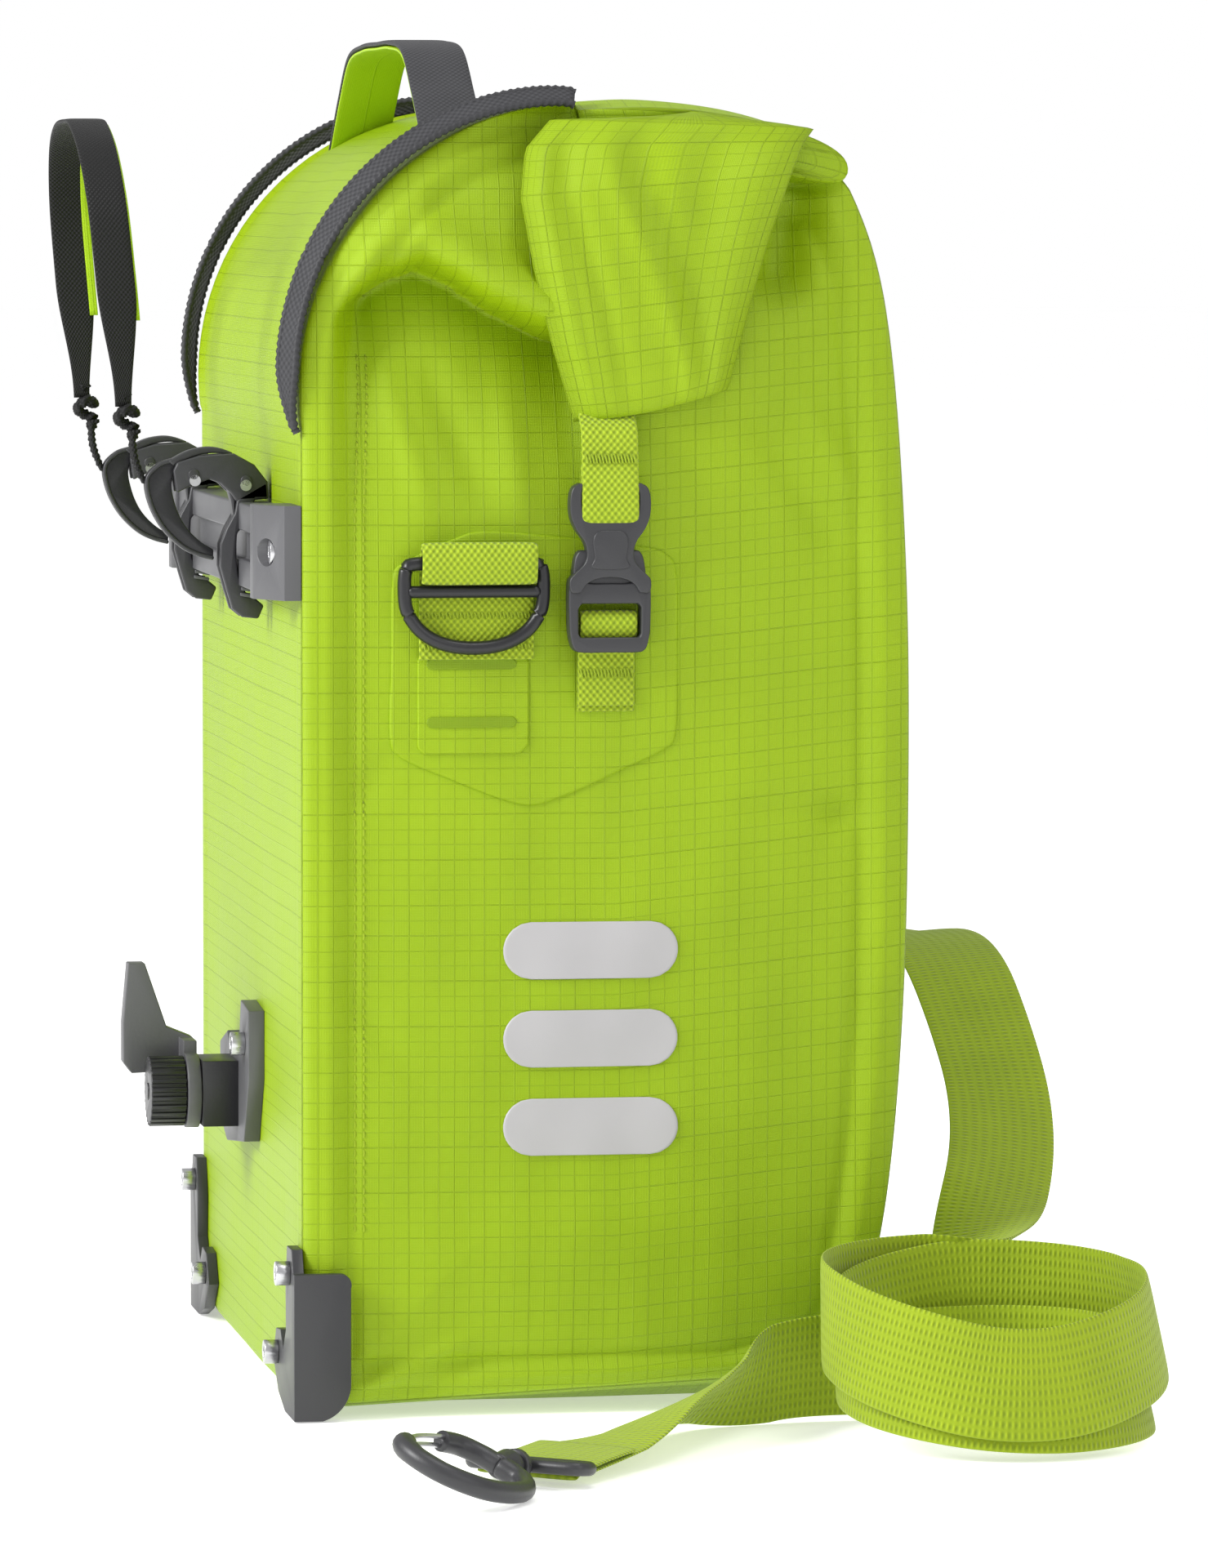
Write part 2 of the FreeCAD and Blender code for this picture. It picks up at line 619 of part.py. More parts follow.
def lever_outline():
    """Crescent that closes the hook from its nose down and in under the rack tube."""
    pivot, top = size("pivot_depth"), size("pivot_height")
    return outline(
        (-pivot + 6, top + 9.8), ((-pivot - 9.5, top + 7), (-pivot - 17, top - 2.5)),
        ((-pivot - 13, top - 18), (-20.8, size("rail_low") + 7.6)),
        (-21.2, size("rail_low") + 12.6),
        ((-pivot - 3.6, top - 16.5), (-pivot - 5.2, top - 7)), (-pivot - 5.2, top - 3),
        (-pivot + 2, top - 5), (-pivot + 6, top - 2),
    )


def make_hooks():
    """Two rack hooks, each with a sprung locking lever on a pivot pin."""
    thick, lever, gap = size("hook_thickness"), size("lever_thickness"), size("lever_gap")
    radius, pin_fit = size("pin_radius"), size("pin_fit")
    pivot_y, pivot_z = panel_y + size("pivot_depth"), size("pivot_height")
    rivet_y, rivet_z = panel_y + 9.5, size("rail_low") + size("rail_height") + 6
    for side, middle in (("left", size("hook_left_x")), ("right", size("hook_right_x"))):
        body = slab(hook_outline(), middle - thick / 2, middle + thick / 2)
        sweep = Part.makeCylinder(18.5, lever + 2 * gap, Vector(middle - lever / 2 - gap, pivot_y, pivot_z),
                                  Vector(1, 0, 0))
        lever_room = slab(outline((-17.6, 270), (-17.6, 312), (-60, 312), (-60, 270)),
                          middle - lever / 2 - gap, middle + lever / 2 + gap)
        body = body.cut(sweep).cut(lever_room)
        pins, holes = [], []
        for y, z in ((pivot_y, pivot_z), (rivet_y, rivet_z)):
            start = Vector(middle - thick / 2 - 0.6, y, z)
            pins.append(Part.makeCylinder(radius, thick + 1.2, start, Vector(1, 0, 0)))
            holes.append(Part.makeCylinder(radius, thick + 2, start - Vector(0.4, 0, 0), Vector(1, 0, 0)))
        for hole in holes:
            body = body.cut(hole)
        feature("rack_hook_" + side, body.removeSplitter())
        feature("hook_pins_" + side, Part.makeCompound(pins))
        blade = slab(lever_outline(), middle - lever / 2, middle + lever / 2)
        boss = Part.makeCylinder(5.5, lever, Vector(middle - lever / 2, pivot_y, pivot_z), Vector(1, 0, 0))
        bore = Part.makeCylinder(radius + pin_fit, lever + 2, Vector(middle - lever / 2 - 1,
            pivot_y, pivot_z),
                                 Vector(1, 0, 0))
        feature("hook_lever_" + side, blade.fuse(boss).cut(bore).removeSplitter())


def make_pull_strap():
    """One loop of webbing that joins the noses of the two levers and opens both at once."""
    wide, thick = size("pull_width"), size("pull_thickness")
    left, right = size("hook_left_x"), size("hook_right_x")
    foot, top = size("pivot_height") + 14, size("pull_top")
    bend = (right - left) / 2
    middle = (left + right) / 2
    shoulder = top - 38
    loops = []
    for inset in (0, thick):
        half = bend - inset
        crown = top - inset
        edges = [Part.LineSegment(Vector(middle - half, 0, foot), Vector(middle - half, 0,
            shoulder)).toShape(),
                 Part.Arc(Vector(middle - half, 0, shoulder), Vector(middle, 0, crown),
                          Vector(middle + half, 0, shoulder)).toShape(),
                 Part.LineSegment(Vector(middle + half, 0, shoulder), Vector(middle + half, 0,
                     foot)).toShape()]
        loops.append(edges)
    outer, inner = loops
    ends = [Part.LineSegment(Vector(middle + s * bend, 0, foot), Vector(middle + s * (bend - thick),
        0, foot)).toShape()
            for s in (-1, 1)]
    face = Part.Face(Part.Wire(Part.__sortEdges__(outer + inner + ends)))
    band = face.extrude(Vector(0, wide, 0))
    outside = panel_y + size("strap_reach") - wide
    band.translate(Vector(0, outside, 0))
    cords = []
    for x in (left + thick / 2, right - thick / 2):
        knot = Vector(x, outside + 4, foot + 3)
        eye = Vector(x, panel_y + size("pivot_depth") + 19, size("pivot_height") - 1)
        cords.append(Part.makeCylinder(size("pull_cord") / 2, (eye - knot).Length, knot, eye - knot))
    feature("pull_strap", band.fuse(cords).removeSplitter())


# ---------- lower clamp ----------

def make_clamp():
    """Lower anti-sway clamp: bolted plate, carriage, a turning finger and its knob."""
    high, plate = size("clamp_height"), size("clamp_plate")
    half, tall = size("clamp_plate_width") / 2, size("clamp_plate_height")
    lobes = [(-half, 8), (-half, tall * 0.66), (-half + 22, tall * 0.7), (-14, 15), (14, 15),
             (half - 22, 20), (half, 14), (half, -14), (half - 20, -tall * 0.42), (-half + 14, -16)]
    loop = Part.makePolygon([Vector(x, panel_y, high + z) for x, z in lobes + lobes[:1]])
    base = Part.Face(loop).extrude(Vector(0, plate, 0))
    screws = [(-half + 12, 20), (half - 12, -2)]
    for x, z in screws:
        base = base.cut(Part.makeCylinder(size("screw_radius") + size("screw_hole_fit"), plate + 2,
                                          Vector(x, panel_y - 1, high + z), Vector(0, 1, 0)))
    feature("clamp_plate", base)

    block = size("clamp_block")
    carriage = box("carriage_block", "-13", PANEL_Y + " + sizes.clamp_plate", "sizes.clamp_height - 12",
                   "sizes.carriage_width", "sizes.clamp_block", "sizes.carriage_height")
    stud = rod("carriage_stud", "3", "sizes.finger_ring + sizes.knob_length + 1", "0",
               PANEL_Y + " + sizes.clamp_plate + sizes.clamp_block", "sizes.clamp_height", "y")
    keep(fuse("clamp_carriage", carriage, stud), "clamp_carriage")

    face_y = panel_y + plate + block + size("clamp_fit")
    ring = size("finger_ring")
    wide = size("finger_width")
    axis = Vector(0, face_y, high)
    hub = Part.makeCylinder(size("knob_radius") + 0.7, ring, axis, Vector(0, 1, 0))
    lug = Part.makeBox(wide + 12, ring, 13, Vector(3, face_y, high + 5))
    side_x = 15
    reach_y = panel_y + size("finger_reach")
    tip = size("finger_top")
    arm = [(face_y, high + 6), (reach_y - 3, high + 5), (reach_y, high + 9), (reach_y, tip - 22),
           (reach_y - 2, tip), (reach_y - 8, tip), (reach_y - 16, high + 22), (face_y, high + 18)]
    leg = Part.Face(Part.makePolygon([Vector(side_x, y, z) for y, z in arm + arm[:1]]))
    finger = hub.fuse([lug, leg.extrude(Vector(wide, 0, 0))])
    bore = Part.makeCylinder(3 + size("pin_fit"), ring + 2, axis - Vector(0, 1, 0), Vector(0, 1, 0))
    feature("clamp_finger", finger.cut(bore).removeSplitter())

    body = doc.addObject("PartDesign::Body", "clamp_knob")
    disc = new_sketch(body, "knob_disc", "XZ_Plane")
    circle(disc, "sizes.knob_radius")
    pad(body, "knob_blank", disc, "sizes.knob_length")
    doc.recompute()
    hole = new_sketch(body, "knob_bore", "XZ_Plane")
    circle(hole, "3 + sizes.pin_fit")
    pocket(body, "knob_bore_cut", hole)
    rib = new_sketch(body, "knob_rib", "XZ_Plane")
    rectangle(rib, "1.6", "1.6", "sizes.knob_radius - 0.9", "-0.8")
    flute = pocket(body, "knob_flute", rib)
    ring_of = body.newObject("PartDesign::PolarPattern", "knob_flutes")
    ring_of.Originals = [flute]
    ring_of.Axis = (disc, ["N_Axis"])
    ring_of.Angle = 360
    ring_of.Occurrences = 24
    body.Tip = ring_of
    at(body, "0", PANEL_Y + " + sizes.clamp_plate + sizes.clamp_block + sizes.finger_ring"
       " + 2 * sizes.clamp_fit + sizes.knob_length", "sizes.clamp_height")
    keep(body, "clamp_knob")
    return [(x, high + z, plate) for x, z in screws]


# ---------- guards and fasteners ----------

def make_guards():
    """Plastic guards that wrap the two lower corners of the rack panel."""
    wall, wrap, reach = size("guard_wall"), size("guard_wrap"), size("guard_reach")
    tall, side_tall = size("guard_height"), size("guard_side")
    places = []
    for side, sign in SIDES:
        face_x = sign * half_width
        back = [(wall, 0.5), (wall - 4, side_tall), (-4, tall), (-16, tall), (-20, tall - 14), (-19, 30),
                (-27, 22), (-34, 28), (-46, 27), (-reach + wall, 16), (-40, 5), (-22, 0.5)]
        loop = Part.makePolygon([Vector(face_x + sign * x, panel_y, z) for x, z in back + back[:1]])
        cover = Part.Face(loop).extrude(Vector(0, wall, 0))
        end = outline((-wall, 0.5), (-wall, side_tall), (wrap - 4, side_tall),
                      ((wrap - 1, side_tall - 1), (wrap, side_tall - 5)), (wrap, 14),
                      ((wrap - 3, 5), (wrap - 10, 0.5)))
        cheek = slab(end, face_x, face_x + sign * wall)
        guard = cover.fuse(cheek).removeSplitter()
        screws = [(face_x - sign * 10, tall - 9), (face_x - sign * 42, 19)]
        for x, z in screws:
            guard = guard.cut(Part.makeCylinder(size("screw_radius") + size("screw_hole_fit"), wall + 2,
                                                Vector(x, panel_y - 1, z), Vector(0, 1, 0)))
            places.append((x, z, wall))
        feature("corner_guard_" + side, guard)
    return places


def screw(x, z, stand_off):
    """A socket cap screw through the rack panel, its head on a piece of the given thickness."""
    head_y = panel_y + stand_off
    grip = size("fabric") + size("board_thickness") + size("nut_height")
    head = Part.makeCylinder(size("screw_head_radius"), size("screw_head_height"), Vector(x, head_y, z),
                             Vector(0, 1, 0))
    corners = [Vector(x + size("socket_radius") * math.cos(math.radians(60 * k)),
                      head_y + size("screw_head_height") - 2.5,
                      z + size("socket_radius") * math.sin(math.radians(60 * k))) for k in range(7)]
    recess = Part.Face(Part.makePolygon(corners)).extrude(Vector(0, 3, 0))
    shank = Part.makeCylinder(size("screw_radius"), stand_off + grip, Vector(x, panel_y - grip, z),
        Vector(0, 1, 0))
    return head.cut(recess).fuse(shank).removeSplitter()


def nut(x, z):
    inside = panel_y - size("fabric") - size("board_thickness")
    body = Part.makeCylinder(size("nut_radius"), size("nut_height"), Vector(x, inside, z), Vector(0, -1, 0))
    bore = Part.makeCylinder(size("screw_radius"), size("nut_height"), Vector(x, inside, z),
        Vector(0, -1, 0))
    return body.cut(bore)


def make_fasteners(clamp_places, guard_places):
    """Screws in three groups, one group of nuts, and clearance through the fabric and board."""
    rail_x = size("rail_length") / 2 + size("housing_length") * 0.62
    rail_z = size("rail_low") + size("rail_height") / 2
    rail_places = [(-rail_x, rail_z, 5), (rail_x, rail_z, 5)]
    groups = {"rail_screws": rail_places, "clamp_screws": clamp_places, "guard_screws": guard_places}
    everything = []
    for label, places in groups.items():
        feature(label, Part.makeCompound([screw(*place) for place in places]))
        everything += places
    feature("inside_nuts", Part.makeCompound([nut(x, z) for x, z, _ in everything]))
    doc.recompute()
    panel = next(n for n in nodes if n.Label == "back_panel")
    board = next(n for n in nodes if n.Label == "back_board")
    drills = [Part.makeCylinder(size("screw_radius") + size("screw_hole_fit"), 30,
                                Vector(x, panel_y - 20, z), Vector(0, 1, 0)) for x, z, _ in everything]
    shape = panel.Shape
    for drill in drills:
        shape = shape.cut(drill)
    panel.Shape = shape
    holes = doc.addObject("Part::Feature", "board_drills")
    holes.Shape = Part.makeCompound(drills)
    drilled = doc.addObject("Part::Cut", "drilled_board")
    drilled.Base = board
    drilled.Tool = holes
    nodes[nodes.index(board)] = drilled
    board.Label = "board_blank"
    drilled.Label = "back_board"


# ---------- shoulder strap ----------

STRAP_BACK = [  # from the right D-ring's snap hook round the outer side, over a crest, down to the coil
    (173.3, 17.7, 196), (173.8, 14.5, 180), (176, -4, 165), (177, -36, 152), (176, -88, 143), (172,
        -136, 145), (138, -172, 152),
    (90, -178, 161), (40, -176, 168), (-8, -174, 158), (-44, -172, 132), (-74, -171, 102), (-106, -166, 74),
    (-138, -160, 56), (-166.5, -154, 45),
]
STRAP_FRONT = [  # from under the coil along the floor to the front snap hook
    (-181, -111, 12), (-177, -90, 12), (-178, -68, 12), (-190, -46, 11), (-213, -29, 8), (-242, -16, 5),
    (-272, 0, 4.6), (-294, 16, 4.6),
]
COIL_CENTRE = (-226, -152)

# The strap's points are drawn round a bag of these sizes, and move with the bag when it changes.
DRAWN_HALF_WIDTH = 150
DRAWN_RING_Y = 17.75
DRAWN_OUTER_Y = -123.25


def follow(point):
    """A strap point moved sideways with the end panels, and in depth with the D-ring and outer seam."""
    x, y = point[0], point[1]
    widening = size("bag_width") / 2 - DRAWN_HALF_WIDTH
    ring_move = panel_y - size("ring_depth") - DRAWN_RING_Y
    outer_move = panel_y - size("bag_depth") - DRAWN_OUTER_Y
    aside = max(-1, min(1, x / DRAWN_HALF_WIDTH))
    behind = max(0, min(1, (DRAWN_RING_Y - y) / (DRAWN_RING_Y - DRAWN_OUTER_Y)))
    return (x + widening * aside, y + ring_move * (1 - behind) + outer_move * behind) + tuple(point[2:])


STRAP_BACK = [follow(point) for point in STRAP_BACK]
STRAP_FRONT = [follow(point) for point in STRAP_FRONT]
COIL_CENTRE = follow(COIL_CENTRE)


def rounded_path(points, label):
    """Straight runs joined by tangent arcs of 0.45 of the shorter run; prints each radius."""
    spots = [Vector(*p) for p in points]
    edges, radii = [], []
    here = spots[0]
    for before, corner, after in zip(spots, spots[1:], spots[2:]):
        back, ahead = before - corner, after - corner
        shorter = min(back.Length, ahead.Length)
        back.normalize()
        ahead.normalize()
        turn = math.pi - back.getAngle(ahead)
        trim = 0.45 * shorter
        radius = trim / math.tan(turn / 2)
        radii.append(radius)
        start, stop = corner + back * trim, corner + ahead * trim
        middle = back + ahead
        middle.normalize()
        reach = radius / math.cos(turn / 2) - radius
        edges.append(Part.LineSegment(here, start).toShape())
        edges.append(Part.Arc(start, corner + middle * reach, stop).toShape())
        here = stop
    edges.append(Part.LineSegment(here, spots[-1]).toShape())
    print(label, "arc radii", [round(r) for r in radii])
    return Part.Wire(edges)


def tube(points, label):
    path = rounded_path(points, label)
    direction = Vector(*points[1]) - Vector(*points[0])
    ring = Part.Wire(Part.Circle(Vector(*points[0]), direction, size("strap_section") / 2).toShape())
    solid = path.makePipeShell([ring], True, False, 2)
    expected = math.pi * size("strap_section") ** 2 / 4 * path.Length
    print(label, "length", round(path.Length), "volume ratio", round(solid.Volume / expected, 3))
    return solid


def make_coil():
    x, y = COIL_CENTRE
    rings = []
    for inset in (0, size("coil_wall")):
        along_x, along_y = size("coil_along_x") - inset, size("coil_along_y") - inset
        oval = Part.Ellipse(Vector(x, y + along_y, 0.2), Vector(x + along_x, y, 0.2), Vector(x, y, 0.2))
        rings.append(Part.Face(Part.Wire(oval.toShape())).extrude(Vector(0, 0, size("coil_height"))))
    return rings[0].cut(rings[1])


def snap_hook():
    """A swivel snap hook along +X from its strap bar at the origin, flat on z = 0."""
    section, long, wide = size("snap_section"), size("snap_length"), size("snap_width")
    loop_long, neck = 15, 14
    start = loop_long + neck
    strap_bar = Part.makeBox(loop_long, wide + 2, 5, Vector(0, -wide / 2 - 1, 1.5))
    strap_bar = strap_bar.cut(Part.makeBox(loop_long - 8, wide - 4, 9, Vector(4, -wide / 2 + 2, 0)))
    stem = Part.makeCylinder(4, neck, Vector(loop_long - 0.5, 0, 4), Vector(1, 0, 0))
    loop = strap_bar.fuse(stem).removeSplitter()
    outer = Part.makeBox(long, wide, section, Vector(start + 0.5, -wide / 2, 0))
    outer = outer.makeFillet(wide * 0.42, [e for e in outer.Edges if abs(e.Length - section) < 0.01])
    inner = Part.makeBox(long - 14, wide - 13, section + 2, Vector(start + 8.5, -wide / 2 + 6.5, -1))
    inner = inner.makeFillet(3, [e for e in inner.Edges if abs(e.Length - section - 2) < 0.01])
    mouth = Part.makeBox(24, 12, section + 2, Vector(start + 13, wide / 2 - 9, -1))
    socket = Part.makeCylinder(4 + size("pin_fit"), neck, Vector(loop_long, 0, 4), Vector(1, 0, 0))
    collar = Part.makeCylinder(4, 7, Vector(start - 2, 0, 4), Vector(1, 0, 0))
    body = outer.cut(inner).cut(mouth).fuse(collar).cut(socket).removeSplitter()
    gate_y = wide / 2 - 3.5
    gate_length = 22.9
    radius = size("snap_gate_radius")
    rods = [Part.makeCylinder(radius, gate_length, Vector(start + 13.8, gate_y, z), Vector(1, 0, 0))
            for z in (2.4, 5.6)]
    bridges = [Part.makeCylinder(radius * 0.9, 3.2, Vector(start + 13.8 + along, gate_y, 2.4),
        Vector(0, 0, 1))
               for along in (radius, gate_length - radius)]
    gate = rods[0].fuse([rods[1]] + bridges).removeSplitter()
    return {"loop": loop, "ring": body, "gate": gate}


def place(shape, origin, direction, up):
    """Carry a shape drawn along +X to an origin, pointing in a direction, with its +Z up."""
    turned = Rotation(direction, Vector(), up, "XZY")
    moved = shape.copy()
    moved.Placement = Placement(origin, turned)
    return moved


def make_strap():
    feature("strap_back", tube(STRAP_BACK, "strap_back"))
    feature("strap_coil", make_coil())
    feature("strap_front", tube(STRAP_FRONT, "strap_front"))
    hook = snap_hook()
    ahead = Vector(*STRAP_FRONT[-1]) - Vector(*STRAP_FRONT[-2])
    ahead.z = 0
    ahead.normalize()
    tip = Vector(*STRAP_FRONT[-1])
    eye = Vector(tip.x, tip.y, size("snap_section") + 0.3) + ahead * 0.3
    for name, shape in hook.items():
        feature("front_snap_" + name, place(shape, eye, ahead, Vector(0, 0, -1)))
    start = Vector(*STRAP_BACK[0])
    foot = start + Vector(0, -size("snap_section") / 2, 1)
    for name, shape in hook.items():
        hung = place(shape, foot, Vector(0, 0, 1), Vector(0, 1, 0))
        if name == "loop":
            hung.rotate(start, Vector(0, 0, 1), 90)
        feature("back_snap_" + name, hung)


# ---------- build, check and write ----------

make_fabric()
make_closure()
make_trims()
make_handle()
make_board()
make_patches()
make_buckles()
make_rings()
make_rail()
make_hooks()
make_pull_strap()
clamp_screw_places = make_clamp()
guard_screw_places = make_guards()
make_fasteners(clamp_screw_places, guard_screw_places)
make_strap()
doc.recompute()

for obj in doc.Objects:
    if "Invalid" in obj.State or "Error" in obj.State:
        raise RuntimeError("%s is %s" % (obj.Label, obj.State))
for node in nodes:
    if node.Shape.isNull() or not node.Shape.isValid() or node.Shape.Volume <= 0:
        raise RuntimeError(node.Label + " has no valid solid")

os.makedirs("parts", exist_ok=True)
for node in nodes:
    node.Shape.exportStep("parts/%s.step" % node.Label)
print(len(nodes), "nodes written")
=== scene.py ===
# %% [markdown]
# # A roll-top pannier bag
# The bag is coated ripstop fabric on a stiff back board, with plastic hooks for a bicycle rack and a
# clip-on shoulder strap. The CAD model gives every place and size, in metres, with +Z up, the rack
# side towards +Y and the bag's width along X. Each step below makes one kind of piece, as a surface
# worked out with numpy, and lets it ride on the CAD body that moves it.

# %% Load the CAD model as the frame
import json
import math
import bpy
import numpy as np
from mathutils import Matrix, Vector


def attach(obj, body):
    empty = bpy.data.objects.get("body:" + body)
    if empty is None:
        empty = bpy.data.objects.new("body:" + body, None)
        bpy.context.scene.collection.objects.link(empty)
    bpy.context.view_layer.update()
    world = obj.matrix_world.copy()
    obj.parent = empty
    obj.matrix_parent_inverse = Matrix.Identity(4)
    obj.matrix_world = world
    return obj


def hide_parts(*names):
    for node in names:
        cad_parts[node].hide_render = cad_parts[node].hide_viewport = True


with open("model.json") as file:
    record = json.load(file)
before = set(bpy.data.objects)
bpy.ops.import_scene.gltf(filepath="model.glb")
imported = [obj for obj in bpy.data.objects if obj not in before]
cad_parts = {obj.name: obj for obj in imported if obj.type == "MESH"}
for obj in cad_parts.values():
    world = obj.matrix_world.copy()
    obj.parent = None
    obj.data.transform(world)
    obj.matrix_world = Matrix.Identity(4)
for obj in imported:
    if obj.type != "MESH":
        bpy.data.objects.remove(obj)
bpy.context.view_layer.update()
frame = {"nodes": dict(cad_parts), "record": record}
PANEL_Y = 0.07675          # the rack side's flat panel
HALF_WIDTH = 0.150         # from the middle to an end panel
SIDES = (("left", -1.0), ("right", 1.0))

# %% [markdown]
# ## Camera, light and floor
# A soft studio look needs large lights: one above and to the left, a weaker one from the right, and
# a bright even background, so the coated fabric shows wide gentle highlights. The camera stands
# almost square-on to one end of the bag, three metres away, so the perspective is mild.

# %% Camera
AIM = Vector((0.0, 0.0, 0.22))
AZIMUTH, ELEVATION, DISTANCE = math.radians(-98.6), math.radians(3.9), 3.0
back = Vector((math.sin(AZIMUTH) * math.cos(ELEVATION), -math.cos(AZIMUTH) * math.cos(ELEVATION),
               math.sin(ELEVATION)))
camera = bpy.data.objects.new("camera", bpy.data.cameras.new("camera"))
bpy.context.scene.collection.objects.link(camera)
camera.location = AIM + back * DISTANCE
camera.rotation_mode = "QUATERNION"
camera.rotation_quaternion = (-back).to_track_quat("-Z", "Y")
camera.data.sensor_width = 36.0
camera.data.lens = 10020 / 1920 * 36.0
camera.data.shift_x, camera.data.shift_y = 0.0934, -0.0142
camera.data.clip_start, camera.data.clip_end = 0.05, 60.0
bpy.context.scene.camera = camera
print("camera at", np.round(camera.location, 3))


# %% Lights, background and floor
def area_light(name, spot, size, power):
    """A square light that faces the middle of the bag."""
    lamp = bpy.data.objects.new(name, bpy.data.lights.new(name, "AREA"))
    bpy.context.scene.collection.objects.link(lamp)
    lamp.data.size, lamp.data.energy = size, power
    lamp.location = spot
    lamp.rotation_euler = (Vector((0, 0, 0.22)) - Vector(spot)).to_track_quat("-Z", "Y").to_euler()
    return lamp


area_light("key_light", (-0.7, 2.4, 1.6), 1.1, 84)
area_light("fill_light", (-2.1, -1.3, 1.3), 1.4, 10)
area_light("top_light", (-0.6, -0.4, 2.2), 1.0, 12)
world = bpy.data.worlds.new("studio")
bpy.context.scene.world = world
world.use_nodes = True
sky = world.node_tree.nodes["Background"]
sky.inputs["Color"].default_value = (1, 1, 1, 1)
seen = world.node_tree.nodes.new("ShaderNodeLightPath").outputs["Is Camera Ray"]
strength = world.node_tree.nodes.new("ShaderNodeMapRange")
strength.inputs["To Min"].default_value, strength.inputs["To Max"].default_value = 0.62, 1.0
world.node_tree.links.new(seen, strength.inputs["Value"])
world.node_tree.links.new(strength.outputs[0], sky.inputs["Strength"])
bpy.context.scene.view_settings.view_transform = "Standard"

floor_mesh = bpy.data.meshes.new("floor")
floor_mesh.from_pydata([(-30, -30, 0), (30, -30, 0), (30, 30, 0), (-30, 30, 0)], [], [(0, 1, 2, 3)])
floor = bpy.data.objects.new("floor", floor_mesh)
bpy.context.scene.collection.objects.link(floor)
print("lights and floor are in place")

# %% [markdown]
# ## Tools for surfaces
# Nearly every piece here is a grid: a sheet of points indexed by two numbers, or a closed outline
# given some thickness. Three helpers turn such arrays into meshes. Each mesh keeps a UV map whose
# unit is one metre, so one weave pattern has the right scale on every piece of cloth.


# %% Mesh helpers
def add_piece(name, points, faces, material, body, uv=None, smooth=True):
    """A mesh object from arrays, with its own UVs, riding on a CAD body."""
    mesh = bpy.data.meshes.new(name)
    mesh.from_pydata(np.asarray(points).tolist(), [], [list(face) for face in faces])
    mesh.polygons.foreach_set("use_smooth", [smooth] * len(mesh.polygons))
    if uv is not None:
        layer = mesh.uv_layers.new(name="cloth")
        corners = np.zeros(len(mesh.loops), dtype=np.int32)
        mesh.loops.foreach_get("vertex_index", corners)
        layer.data.foreach_set("uv", np.asarray(uv)[corners].astype(np.float32).ravel())
    piece = bpy.data.objects.new(name, mesh)
    bpy.context.scene.collection.objects.link(piece)
    mesh.materials.append(material)
    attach(piece, body)
    return piece


def grid_faces(rows, columns, wrap_rows=False, wrap_columns=False):
    """Quads between neighbouring points of a grid stored row after row."""
    index = np.arange(rows * columns).reshape(rows, columns)
    if wrap_rows:
        index = np.vstack([index, index[:1]])
    if wrap_columns:
        index = np.hstack([index, index[:, :1]])
    return np.stack([index[:-1, :-1], index[:-1, 1:], index[1:, 1:], index[1:, :-1]], -1).reshape(-1, 4)


def smoothstep(low, high, value):
    """0 below low, 1 above high, and 3t^2 - 2t^3 between them."""
    t = np.clip((value - low) / (high - low), 0, 1)
    return t * t * (3 - 2 * t)


def resample(points, count, closed=False):
    """Points spread evenly by arc length along a polyline."""
    points = np.asarray(points, float)
    if closed:
        points = np.vstack([points, points[:1]])
    run = np.concatenate([[0], np.cumsum(np.linalg.norm(np.diff(points, axis=0), axis=1))])
    where = np.linspace(0, run[-1], count + 1)[:-1] if closed else np.linspace(0, run[-1], count)
    return np.stack([np.interp(where, run, points[:, k]) for k in range(points.shape[1])], -1)


def smooth_curve(points, count, closed=False):
    """A Catmull-Rom curve through points, sampled evenly by arc length."""
    points = np.asarray(points, float)
    if closed:
        padded = np.vstack([points[-1:], points, points[:2]])
    else:
        padded = np.vstack([2 * points[:1] - points[1:2], points, 2 * points[-1:] - points[-2:-1]])
    t = np.linspace(0, 1, 24, endpoint=False)[:, None]
    p0, p1, p2, p3 = padded[:-3, None], padded[1:-2, None], padded[2:-1, None], padded[3:, None]
    fine = 0.5 * (2 * p1 + (p2 - p0) * t + (2 * p0 - 5 * p1 + 4 * p2 - p3) * t**2
                  + (3 * p1 - p0 - 3 * p2 + p3) * t**3)
    fine = fine.reshape(-1, points.shape[1])
    if not closed:
        fine = np.vstack([fine, points[-1:]])
    return resample(fine, count, closed)


def tape(centre, across, up, width, thickness, steps_across=9):
    """A flat ribbon with rounded edges along a line: a superellipse section, swept.

    centre is the line, across and up are unit vectors at each of its points. Returns points,
    faces and UVs, where u runs across the ribbon and v along it, both in metres.
    """
    turn = np.linspace(0, 2 * np.pi, 4 * steps_across, endpoint=False)
    wide = np.sign(np.cos(turn)) * np.abs(np.cos(turn)) ** 0.35 * width / 2
    high = np.sign(np.sin(turn)) * np.abs(np.sin(turn)) ** 0.6 * thickness / 2
    points = (centre[:, None] + across[:, None] * wide[None, :, None] + up[:, None] * high[None, :, None])
    rows, columns = points.shape[:2]
    faces = grid_faces(rows, columns, wrap_columns=True).tolist()
    faces.append(list(range(columns)))
    faces.append(list(range((rows - 1) * columns, rows * columns))[::-1])
    run = np.concatenate([[0], np.cumsum(np.linalg.norm(np.diff(centre, axis=0), axis=1))])
    uv = np.stack([np.broadcast_to(wide, (rows, columns)), np.broadcast_to(run[:, None], (rows, columns))],
        -1)
    return points.reshape(-1, 3), faces, uv.reshape(-1, 2)


def unit(vectors):
    """Vectors divided by their lengths."""
    return vectors / np.maximum(np.linalg.norm(vectors, axis=-1, keepdims=True), 1e-12)


